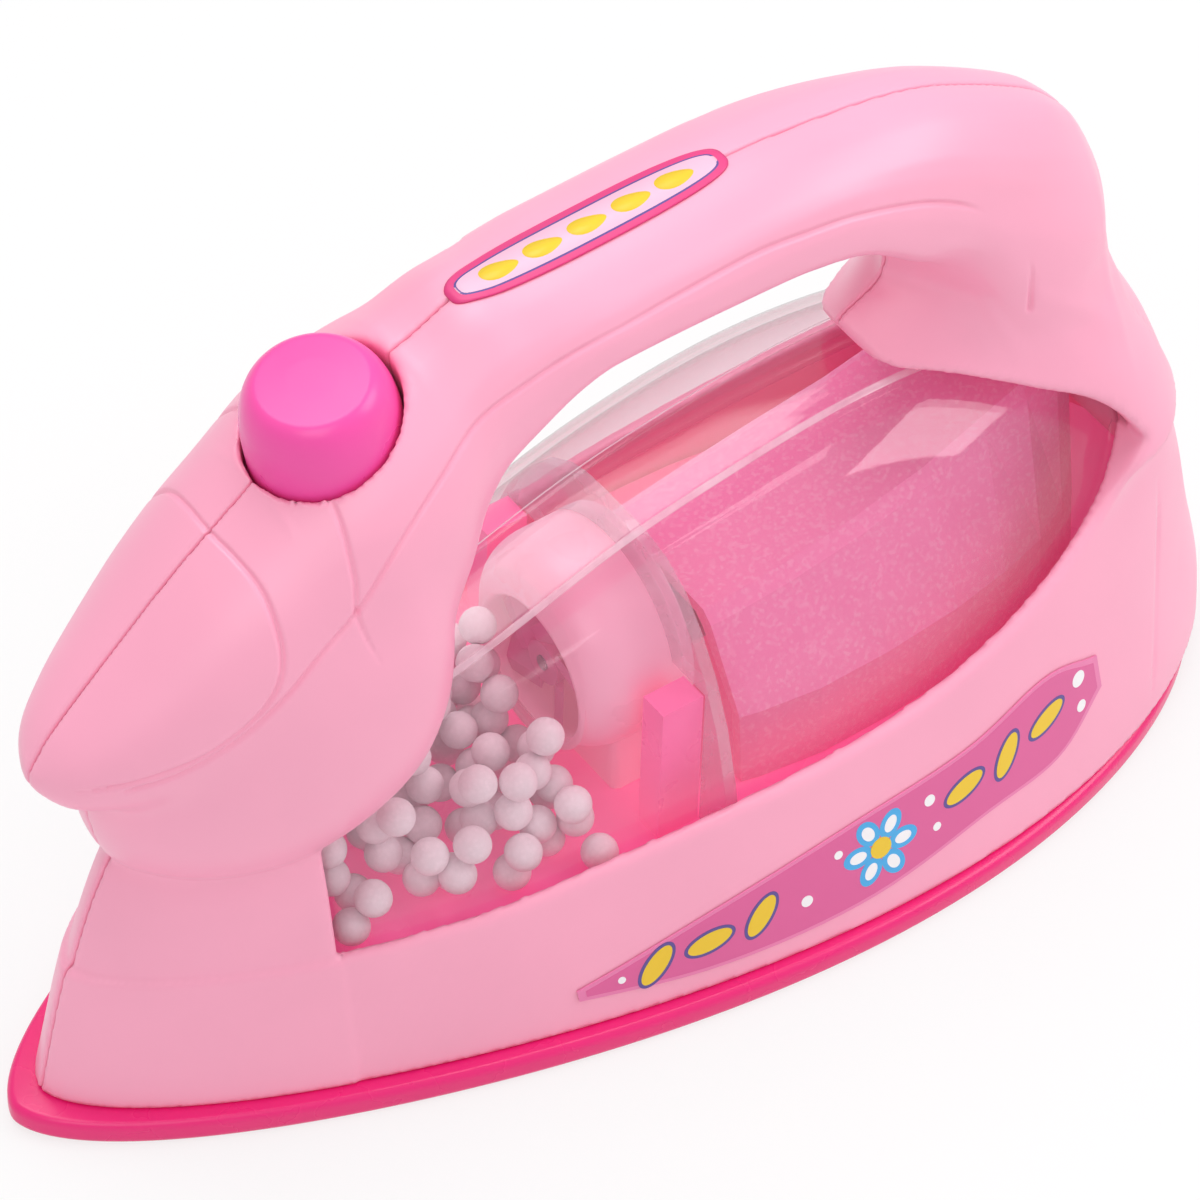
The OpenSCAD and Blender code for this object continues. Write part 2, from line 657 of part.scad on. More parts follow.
// Tray: floor of the bead chamber, lugs at the arch, posts for the sole's screws and the battery well
arch_x = 0.492 * body_len;
lug_w = 4;
lug_y = 16;
lug_h = 22.5;
lug_len = 6;
fit_inset = wall + 3 * gap;
module base_tray() {
    color(tray_pink)
        difference() {
            union() {
                translate([0, 0, floor_z - floor_t])
                    linear_extrude(floor_t)
                        polygon(plan_points(floor_z, fit_inset, toe_x(floor_z) + fit_inset + tip,
                            heel_x(floor_z) - fit_inset - tip));
                translate([0, 0, sole_t])
                    at_sole_screws() cylinder(h = floor_z - sole_t - floor_t / 2, r = sole_boss_r, $fn = screw_fn);
                translate([well_x - well_wall, -well_w / 2 - well_wall, sole_t])
                    cube([well_len + 2 * well_wall, well_w + 2 * well_wall, floor_z - sole_t - floor_t / 2]);
                for (s = [-1, 1])
                    translate([arch_x - lug_len, s > 0 ? lug_y : -lug_y - lug_w, floor_z - floor_t / 2])
                        cube([lug_len - gap, lug_w, lug_h]);
            }
            translate([well_x, -well_w / 2, 0]) cube([well_len, well_w, floor_z - floor_t]);
            translate([0, 0, sole_t - over])
                at_sole_screws()
                    cylinder(h = sole_screw_len + sole_head_depth - sole_t + 2 * over, r = screw_r + thread_gap, $fn = screw_fn);
        }
}

// Section of a shell under the crest: z on the crown at a given half width
function crown_z(x, y, inset) =
    let(zt = body_top(x, inset), zs = shoulder_z(x, inset), w0 = wall_w(x, zs, inset),
        z0 = zs + (zt - zs) * pow(max(0, 1 - pow(min(1, y / w0), crown_round)), 1 / crown_rise),
        w1 = wall_w(x, z0, inset))
    zs + (zt - zs) * pow(max(0, 1 - pow(min(1, y / w1), crown_round)), 1 / crown_rise);
cover_crown = 6;
cover_stations = 16;
band_edge = 0.5;
cover_gap = 0.5;
cover_inset = wall + cover_gap + band_h;
cover_x0 = sill_front_x + gap;
cover_x1 = 0.873 * body_len;
function cover_half(x, inset, z_low, raised) =
    let(zs = shoulder_z(x, inset), zb = crown_z(x, band_w / 2 + band_edge, inset),
        low = min(z_low, zs - tip))
    concat([[body_w(x, low, inset), low]],
        [for (i = [0:cover_crown])
            let(z = zs + (zb - zs) * pow(sin(90 * i / cover_crown), 0.9)) [body_w(x, z, inset), z]],
        [[band_w / 2, crown_z(x, band_w / 2, inset) + raised], [band_w / 4, crown_z(x, band_w / 4, inset) + raised]]);
function across(half, x, z_mid) =
    concat([for (p = half) [x, -p[0], p[1]]], [[x, 0, z_mid]],
        [for (i = [len(half) - 1:-1:0]) [x, half[i][0], half[i][1]]]);
function cover_row(x, inset, z_low, raised) =
    across(cover_half(x, inset, z_low, raised), x, body_top(x, inset) + raised);
// A shell of two skins, closed by a wall at its first station and open below and at its last
module shell(outer, inner) {
    n = len(outer[0]);
    m = len(outer) - 1;
    k = 2 * n;
    points = [for (j = [0:m]) each concat(outer[j], [for (i = [n - 1:-1:0]) inner[j][i]])];
    sides = [for (j = [0:m - 1], i = [0:k - 1])
        let(a = j * k + i, b = j * k + (i + 1) % k) each [[a, b, b + k], [a, b + k, a + k]]];
    front = [for (i = [1:n - 2]) each [[0, i + 1, i], [k - 1, k - 1 - i, k - 2 - i]]];
    sill = [[n - 1, 0, k - 1], [n - 1, k - 1, n]];
    back = [for (i = [0:n - 2])
        let(a = m * k + i, b = m * k + k - 1 - i) each [[a, a + 1, b - 1], [a, b - 1, b]]];
    polyhedron(points, concat(sides, front, sill, back));
}
function cover_station(j) = cover_x0 + (cover_x1 - cover_x0) * j / cover_stations;
module clear_cover() {
    color(clear_tint)
        shell([for (j = [0:cover_stations])
                let(x = cover_station(j)) cover_row(x, cover_inset, sill_z(x) - cover_lap, band_h)],
            [for (j = [0:cover_stations])
                let(x = j == 0 ? cover_x0 + cover_t : cover_station(j))
                cover_row(x, cover_inset + cover_t, sill_z(x) - cover_lap, band_h)]);
}

// Clear arch between the bead chamber and the rear chamber, open round the pod and at the lugs
pod_z = 36.5;
pod_r = pod_d / 2;
pod_back = arch_x + arch_t + 3 * gap + over;
fan_z = 34;
module arch_bulkhead() {
    inset = cover_inset + cover_t + gap;
    half = concat([[body_w(arch_x, floor_z + gap, inset), floor_z + gap]], cover_half(arch_x, inset, sill_z(arch_x), 0));
    outline = concat([for (p = half) [-p[0], p[1]]], [[0, body_top(arch_x, inset)]],
        [for (i = [len(half) - 1:-1:0]) half[i]]);
    color(clear_tint)
        translate([arch_x, 0, 0])
            rotate([90, 0, 90])
                linear_extrude(arch_t)
                    difference() {
                        polygon(outline);
                        translate([0, pod_z]) circle(r = pod_r + gap, $fn = round_fn);
                        translate([-pod_r - gap, 0]) square([pod_d + 2 * gap, pod_z]);
                        translate([-lug_y - lug_w - gap, 0])
                            square([2 * (lug_y + lug_w + gap), floor_z + lug_h - floor_t / 2 + gap]);
                    }
}

// Pod with the fan's mouth in front and the motor's socket behind
pod_x = pod_back - pod_len;
pod_wall = 1.6;
pod_round = 3;
mouth_r = fan_d / 2 + 4 * gap;
mouth_depth = fan_depth + 3.5;
web_t = 1.5;
socket_len = 7;
pod_foot_w = 22;
round_steps = 4;
fan_x = pod_x + mouth_depth / 2 - fan_depth / 2 + gap;
web_x = pod_x + mouth_depth;
motor_x = web_x + web_t + gap;
shaft_gap = 0.04;
module along_x() {
    rotate([0, 90, 0]) children();
}
module blower_pod() {
    color(pod_pink)
        difference() {
            union() {
                translate([pod_x, 0, pod_z])
                    along_x()
                        rotate_extrude($fn = round_fn)
                            polygon(concat([[0, web_t + mouth_depth], [0, mouth_depth], [pod_r - pod_round - over, mouth_depth],
                                [pod_r - pod_round - over, 0]],
                                [for (i = [0:round_steps])
                                    let(a = 90 * i / round_steps)
                                    [pod_r - pod_round + pod_round * sin(a), pod_round - pod_round * cos(a)]],
                                [[pod_r, pod_len], [pod_r - pod_wall, pod_len], [pod_r - pod_wall, web_t + mouth_depth]]));
                translate([pod_x, 0, fan_z])
                    along_x() {
                        cylinder(h = mouth_depth, r = mouth_r + pod_wall, $fn = round_fn);
                        cylinder(h = web_x - pod_x + web_t + socket_len, r = motor_d / 2 + gap + pod_wall, $fn = round_fn);
                    }
                difference() {
                    translate([pod_x + pod_round, -pod_foot_w / 2, floor_z + gap])
                        cube([pod_len - pod_round, pod_foot_w, pod_z - floor_z - gap - pod_wall]);
                    translate([pod_x + pod_round + pod_wall, -pod_foot_w / 2 + pod_wall, floor_z - over])
                        cube([pod_len, pod_foot_w - 2 * pod_wall, pod_z]);
                    translate([pod_x, 0, pod_z]) along_x() cylinder(h = 2 * pod_len, r = pod_r - pod_wall / 2, $fn = round_fn);
                }
            }
            translate([pod_x - over, 0, fan_z]) along_x() {
                cylinder(h = mouth_depth + over, r = mouth_r, $fn = round_fn);
                cylinder(h = pod_len, r = shaft_d / 2 + 4 * gap, $fn = round_fn);
            }
            translate([motor_x - gap, 0, fan_z]) along_x() cylinder(h = pod_len, r = motor_d / 2 + gap, $fn = round_fn);
        }
}
hub_r = 3;
blade_t = 1;
blade_pitch = 35;
module fan() {
    r = fan_d / 2;
    color(fan_white)
        translate([fan_x, 0, fan_z])
            along_x()
                difference() {
                    union() {
                        cylinder(h = fan_depth, r = hub_r, $fn = round_fn);
                        intersection() {
                            cylinder(h = fan_depth, r = r, $fn = round_fn);
                            for (k = [0:fan_blades - 1])
                                rotate([0, 0, 360 * k / fan_blades])
                                    translate([hub_r / 2, 0, fan_depth / 2])
                                        rotate([blade_pitch, 0, 0])
                                            translate([0, -fan_depth, -blade_t / 2]) cube([r, 2 * fan_depth, blade_t]);
                        }
                    }
                    translate([0, 0, -over]) cylinder(h = fan_depth + 2 * over, r = shaft_d / 2 + eps, $fn = round_fn);
                }
}
motor_flat = 10;
end_cap_t = 1.2;
shaft_tail = 1;
module motor() {
    color(steel)
        translate([motor_x, 0, fan_z])
            along_x()
                difference() {
                    union() {
                        intersection() {
                            cylinder(h = motor_len, r = motor_d / 2, $fn = round_fn);
                            translate([-motor_flat / 2, -motor_d, -over]) cube([motor_flat, 2 * motor_d, motor_len + 2 * over]);
                        }
                        cylinder(h = motor_len + end_cap_t, r = motor_d / 5, $fn = round_fn);
                    }
                    translate([0, 0, -over])
                        cylinder(h = motor_len + end_cap_t + 2 * over, r = shaft_d / 2 + shaft_gap, $fn = round_fn);
                }
}
module motor_shaft() {
    color(steel)
        translate([fan_x - gap, 0, fan_z])
            along_x()
                cylinder(h = motor_x + motor_len + end_cap_t + shaft_tail - fan_x, r = shaft_d / 2, $fn = round_fn);
}

// Rear liner as rows of [length share, top share, top width share, low width share]
liner_shares = [[0.875, 0.485, 0.05, 0.09], [0.867, 0.49, 0.075, 0.125], [0.848, 0.495, 0.1, 0.155],
    [0.815, 0.494, 0.118, 0.196], [0.775, 0.48, 0.13, 0.222], [0.725, 0.452, 0.137, 0.244],
    [0.66, 0.43, 0.143, 0.258], [0.60, 0.413, 0.143, 0.261], [0.55, 0.402, 0.14, 0.246], [0.536, 0.40, 0.138, 0.238]];
liner_knee_share = 0.285;
liner_crown = 0.8;
function liner_row(r, t) =
    let(zt = r[1] * body_h - t, wt = r[2] * sole_w - t, wl = r[3] * sole_w - t, zk = liner_knee_share * body_h)
    across([[wl + over, floor_z + gap], [wl, zk], [wt + (wl - wt) * 0.12, zt - 2 * liner_crown],
        [wt - liner_crown, zt - liner_crown / 4]], 0, zt + liner_crown / 4);
module rear_liner() {
    last = len(liner_shares) - 1;
    outer = [for (r = liner_shares) [for (p = liner_row(r, 0)) [-r[0] * body_len, p[1], p[2]]]];
    inner = [for (j = [0:last])
        let(r = liner_shares[j])
        [for (p = liner_row(r, liner_t)) [-r[0] * body_len + (j == 0 ? liner_t / 2 : 0), p[1], p[2]]]];
    color(liner_pink) mirror([1, 0, 0]) shell(outer, inner);
}

// Beads dropped one by one: each takes the lowest of a few places between the cover and the floor
bead_seed = 11;
bead_tries = 7;
bead_tilt = 0.12;
bead_air = 0.04;
bead_wall_gap = 0.7;
bead_x0 = cover_x0 + cover_t + bead_d / 2 + bead_air;
bead_x1 = arch_x - bead_d / 2 - bead_air;
function bead_rest(x, y, beads, i = 0, z = 0) =
    i >= len(beads) ? z
    : let(b = beads[i], h2 = pow(b[0] - x, 2) + pow(b[1] - y, 2), d = bead_d + bead_air)
        bead_rest(x, y, beads, i + 1, h2 >= d * d ? z : max(z, b[2] + sqrt(d * d - h2)));
function bead_room(x, z) =
    let(inset = cover_inset + cover_t + bead_wall_gap, r = bead_d / 2, up = z + r * cos(45))
    up >= body_top(x, inset + r * cos(45)) - tip ? -1
    : min(body_w(x, z, inset + r), body_w(x, up, inset + r * cos(45)));
function bead_clear(x, y, z) =
    abs(y) < bead_room(x, z)
    && (x < pod_x - bead_d / 2 - bead_air
        || (abs(y) > lug_y + lug_w + bead_d / 2 + bead_air));
function bead_place(k, beads, r) =
    let(places = [for (t = [0:bead_tries - 1])
            let(s = r[2 * (k * bead_tries + t)], q = r[2 * (k * bead_tries + t) + 1],
                x = bead_x0 + (bead_x1 - bead_x0) * s,
                y = (2 * q - 1) * max(bead_room(x, floor_z + bead_d), 0),
                z = bead_rest(x, y, beads, 0, floor_z + bead_d / 2 + bead_air))
            if (bead_clear(x, y, z)) [x, y, z]],
        scores = [for (p = places) p[2] - bead_tilt * p[1]],
        best = len(places) > 0 ? min(scores) : 0)
    [for (i = [0:1:len(places) - 1]) if (scores[i] == best) places[i]];
function bead_pile(k, beads, r) =
    k >= bead_count ? beads : bead_pile(k + 1, concat(beads, bead_place(k, beads, r)), r);
module foam_beads() {
    r = rands(0, 1, 2 * bead_count * bead_tries, bead_seed);
    color(foam_white)
        for (p = bead_pile(0, [], r)) translate(p) sphere(d = bead_d, $fn = 16);
}

module placed() {
    translate([-body_len / 2, 0, 0]) children();
}

placed() sole_plate();
placed() left_housing();
placed() right_housing();
placed() clear_cover();
placed() base_tray();
placed() arch_bulkhead();
placed() blower_pod();
placed() fan();
placed() motor();
placed() motor_shaft();
placed() rear_liner();
placed() battery_left();
placed() battery_right();
placed() battery_springs();
placed() contact_plates();
placed() battery_door();
placed() door_screw();
placed() push_button();
placed() button_spring();
placed() switch();
placed() switch_board();
placed() housing_screws();
placed() sole_screws();
placed() handle_label();
placed() foam_beads();
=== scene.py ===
"""Toy clothes iron with a clear bead chamber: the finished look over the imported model."""
import itertools
import math

import bmesh
import bpy
import numpy as np
from mathutils import Matrix, Vector
from mathutils.geometry import delaunay_2d_cdt


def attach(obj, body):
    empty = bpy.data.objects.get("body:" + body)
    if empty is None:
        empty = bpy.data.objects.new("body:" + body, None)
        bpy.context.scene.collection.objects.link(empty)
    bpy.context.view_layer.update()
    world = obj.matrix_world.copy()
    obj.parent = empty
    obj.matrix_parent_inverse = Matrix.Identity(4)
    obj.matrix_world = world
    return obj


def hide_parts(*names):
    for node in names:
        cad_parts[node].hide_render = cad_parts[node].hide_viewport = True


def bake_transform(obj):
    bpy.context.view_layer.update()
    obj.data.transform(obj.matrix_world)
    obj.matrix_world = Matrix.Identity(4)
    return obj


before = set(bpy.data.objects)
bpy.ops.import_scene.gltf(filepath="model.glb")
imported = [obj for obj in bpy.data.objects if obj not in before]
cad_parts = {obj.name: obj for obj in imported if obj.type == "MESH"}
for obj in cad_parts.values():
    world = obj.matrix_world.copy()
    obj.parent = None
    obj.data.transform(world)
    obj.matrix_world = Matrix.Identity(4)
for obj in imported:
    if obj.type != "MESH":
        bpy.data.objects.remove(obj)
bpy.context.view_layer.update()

bl_info = {
    "name": "Toy Iron",
    "version": (1, 0, 0),
    "blender": (4, 5, 0),
    "location": "View3D > Sidebar > Toy Iron",
    "description": "Builds the moulded housings, clear cover, beads and trim of a toy iron",
    "category": "Object",
}

# ---------------------------------------------------------------- sizes shared by all pieces, in millimetres
MM = 0.001  # one millimetre in metres
LENGTH = 173.0  # toe of the sole to the back of the heel
HEIGHT = 104.0  # table to the top of the handle
SOLE_WIDTH = 73.0
SOLE_THICK = 3.5
TOE_STEP = 3.7  # how far the wall stands back from the sole's toe
SIDE_STEP = 1.1  # and from its sides
DRAFT = 0.2  # how much the wall leans inwards for each millimetre of height
WALL = 1.6
GRIP_WIDTH = 24.0
GRIP_THICK = 12.4
HEAD_WIDTH = 34.0
LEDGE_STEP = 0.9  # how far the front column stands back from the wall below it
COLUMN_TOP, PILLAR_FOOT, PILLAR_ROOM_TOP = 52.0, 46.0, 86.0
BOW_POWER, BOW_ROUND = 1.45, 0.41  # fullness of the boat-shaped plan
CROWN_ROUND, CROWN_RISE = 3.4, 2.1  # squareness of the crest across and upwards
HALF_WIDTH = SOLE_WIDTH / 2 - SIDE_STEP
SILL_FRONT = 0.205 * LENGTH
COVER_END = 0.873 * LENGTH
BUTTON_X, BUTTON_Z, BUTTON_LEAN = 0.25 * LENGTH, 0.96 * HEIGHT, math.radians(10)
BUTTON_RADIUS, BUTTON_GAP = 9.25, 0.35
WELL_DEPTH, COLLAR_DEPTH = 17.0, 15.0  # of the button's well and the collar round it
FLOOR_Z = 19.0  # the tray's floor
SEAM = 0.05  # half the gap between the housing halves
FAR = 25  # fields count as distances up to here

# Tables of smooth lines, as shares of the length, the height or a width. The outline's lines come first:
# the wall's toe and heel by height, then the crest, the sill and the hood's lip by length
TOE_LINE = [[0.03, 0], [0.216, 0.0246], [0.337, 0.049], [0.41, 0.076], [0.45, 0.11]]
HEEL_LINE = [[0.03, 1], [0.1, 0.998], [0.19, 0.986], [0.29, 0.974], [0.385, 0.957], [0.48, 0.929],
             [0.54, 0.906], [0.60, 0.885]]
CREST = [[0.1, 0.44], [0.2, 0.452], [0.30, 0.476], [0.37, 0.505], [0.48, 0.565], [0.58, 0.597],
         [0.665, 0.613], [0.74, 0.609], [0.81, 0.588], [0.87, 0.56], [0.91, 0.53]]
SILL = [[0.2, 0.219], [0.31, 0.231], [0.40, 0.255], [0.49, 0.272], [0.575, 0.285], [0.66, 0.304],
        [0.73, 0.33], [0.79, 0.363], [0.835, 0.398], [0.87, 0.452]]
LIP = [[0.693, 0.620], [0.705, 0.613], [0.725, 0.607], [0.75, 0.594], [0.788, 0.567], [0.825, 0.5375],
       [0.85, 0.50], [0.87, 0.452]]
# Rows of length, top, bottom and width for the egg-shaped nose and cheek
NOSE = [[0.0266, 0.567, 0.553, 0.05], [0.032, 0.585, 0.537, 0.2], [0.043, 0.612, 0.521, 0.36],
        [0.066, 0.652, 0.505, 0.52], [0.104, 0.712, 0.487, 0.69], [0.145, 0.775, 0.475, 0.83],
        [0.18, 0.82, 0.47, 0.92], [0.22, 0.866, 0.47, 0.97], [0.27, 0.91, 0.50, 0.97],
        [0.31, 0.92, 0.60, 0.9], [0.34, 0.90, 0.70, 0.6], [0.352, 0.86, 0.76, 0.3]]
CHEEK = [[0.071, 0.56, 0.44, 0.2], [0.08, 0.58, 0.388, 0.39], [0.098, 0.615, 0.36, 0.565],
         [0.127, 0.67, 0.334, 0.785], [0.156, 0.72, 0.322, 0.945], [0.19, 0.77, 0.322, 1.09],
         [0.23, 0.81, 0.345, 1.175], [0.265, 0.83, 0.386, 1.18], [0.29, 0.83, 0.44, 1.06],
         [0.303, 0.82, 0.51, 0.88], [0.312, 0.79, 0.63, 0.66], [0.317, 0.75, 0.68, 0.38]]
# Rows of length, top, thickness and width for the handle, and the half section of its grip
HANDLE = [[0.2, 0.80, 1.0, 0.7], [0.235, 0.875, 1.6, 1.15], [0.262, 0.908, 2.08, 1.32],
          [0.30, 0.937, 1.946, 1.24], [0.33, 0.96, 1.635, 1.1], [0.36, 0.9838, 1.516, 1.02],
          [0.388, 0.986, 1.266, 1], [0.416, 0.988, 1.032, 1],
          [0.445, 0.99, 0.923, 1], [0.57, 1, 0.998, 1], [0.613, 0.999, 1.04, 1], [0.653, 0.993, 1.141, 1],
          [0.70, 0.982, 1.526, 1], [0.74, 0.965, 1.854, 1], [0.775, 0.939, 2.13, 1], [0.81, 0.908, 2.248, 0.96],
          [0.84, 0.876, 2.147, 0.84], [0.862, 0.84, 2.013, 0.68], [0.875, 0.80, 1.4, 0.4]]
GRIP = [[0.0, -1.0], [0.62, -1.0], [0.8, -0.97], [0.93, -0.86], [0.98, -0.7], [1, -0.45], [0.985, -0.1],
        [0.93, 0.14], [0.85, 0.42], [0.74, 0.62], [0.6, 0.77], [0.45, 0.9], [0.29, 0.985], [0.15, 1.0], [0, 1]]
# Rows of height, front, back and width for the rear pillar
PILLAR = [[0.42, 0.77, 0.94, 1.7], [0.50, 0.745, 0.925, 1.5], [0.55, 0.72, 0.912, 1.38],
          [0.59, 0.702, 0.905, 1.24], [0.625, 0.682, 0.9, 1.12], [0.655, 0.678, 0.899, 1.06],
          [0.676, 0.684, 0.897, 1.02], [0.692, 0.696, 0.896, 1.0], [0.705, 0.702, 0.895, 0.98],
          [0.74, 0.704, 0.891, 0.97], [0.81, 0.706, 0.868, 0.94], [0.88, 0.715, 0.82, 0.8]]
PILLAR_ROUND = 0.75
# Places of the bosses for the housing screws, as shares of length and height, and their sizes
BOSSES = [[0.15, 0.27], [0.25, 0.61], [0.40, 0.925], [0.60, 0.937], [0.80, 0.71], [0.90, 0.40]]
BOSS_RADIUS, PILOT_RADIUS, PILOT_DEPTH, HEAD_RADIUS, HEAD_SEAT = 3.6, 1.3, 7.2, 2.65, 5.0
# Middle and radii of the hollow behind the grip
SCOOP = ((123.5, 18, 76), (9.5, 9, 9.5))


def row(points):
    """Toe-based millimetres to the row frame's metres."""
    out = np.array(points, dtype=float)
    out[..., 0] -= LENGTH / 2
    return out * MM


def packed(name):
    """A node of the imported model."""
    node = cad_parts.get(name)
    if node is None:
        raise RuntimeError(f"no packed node {name}")
    return node


def packed_box(name):
    """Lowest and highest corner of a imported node, in toe-based millimetres."""
    node = packed(name)
    corners = np.array([node.matrix_world @ v.co for v in node.data.vertices]) / MM
    corners[:, 0] += LENGTH / 2
    return corners.min(axis=0).tolist(), corners.max(axis=0).tolist()


# ---------------------------------------------------------------- curves and fields
def curve(table, at, column=1):
    """A smooth line through the rows of a table, straight beyond its ends."""
    t = np.array(table, dtype=float)
    xs, ys = t[:, 0], t[:, column]
    n = len(xs)
    lo, hi = np.maximum(np.arange(n) - 1, 0), np.minimum(np.arange(n) + 1, n - 1)
    slope = (ys[hi] - ys[lo]) / (xs[hi] - xs[lo])
    at = np.asarray(at, dtype=float)
    i = np.clip(np.searchsorted(xs, at, side="right") - 1, 0, n - 2)
    h = xs[i + 1] - xs[i]
    s = np.clip((at - xs[i]) / h, 0, 1)
    value = (ys[i] * (1 + 2 * s) * (1 - s) ** 2 + slope[i] * h * s * (1 - s) ** 2
             + ys[i + 1] * s * s * (3 - 2 * s) - slope[i + 1] * h * s * s * (1 - s))
    return value + np.minimum(at - xs[0], 0) * slope[0] + np.maximum(at - xs[-1], 0) * slope[-1]


def toe_x(z):
    """The wall's front end at a height."""
    return TOE_STEP + LENGTH * curve(TOE_LINE, np.minimum(z / HEIGHT, TOE_LINE[-1][0]))


def heel_x(z):
    """The wall's rear end at a height."""
    return LENGTH * curve(HEEL_LINE, z / HEIGHT)


def crest_z(x):
    """Height of the crest at a length."""
    return HEIGHT * curve(CREST, x / LENGTH)


def sill_z(x):
    """Height of the window's sill at a length."""
    return HEIGHT * curve(SILL, x / LENGTH)


def lip_z(x):
    """Height of the hood's lip at a length."""
    return HEIGHT * curve(LIP, x / LENGTH)


def bow(u):
    """The boat-shaped plan's width over its length, both from 0 to 1."""
    u = np.clip(u, 0, 1)
    return np.maximum(np.sin(np.pi * u ** BOW_POWER), 0) ** BOW_ROUND


def wall_w(x, z, inset=0.0):
    """Half width of the lower body's wall."""
    x0, x1 = toe_x(z) + inset, heel_x(z) - inset
    return (HALF_WIDTH - DRAFT * (z - SOLE_THICK) - inset) * bow((x - x0) / (x1 - x0))


def shoulder_z(x, top, ahead=HEIGHT):
    """Height at which the wall turns in to the crest; ahead of the sill it has a value of its own."""
    return np.where(x < SILL_FRONT, ahead, np.minimum(sill_z(x), SOLE_THICK + (top - SOLE_THICK) * 0.8))


def body_w(x, z, inset=0.0):
    """Half width of the lower body under its crest."""
    top = crest_z(x) - inset
    low = shoulder_z(x, top)
    t = np.clip((z - low) / (top - low), 0, 1)
    return wall_w(x, z, inset) * np.maximum(1 - t ** CROWN_RISE, 0) ** (1 / CROWN_ROUND)


def smooth_max(a, b, r):
    """The larger field, with a fillet of about r where they meet."""
    h = np.maximum(r - np.abs(a - b), 0)
    return np.maximum(a, b) + h * h / (4 * r)


def smooth_min(a, b, r):
    """The smaller field, with a fillet of about r where they meet."""
    return -smooth_max(-a, -b, r)


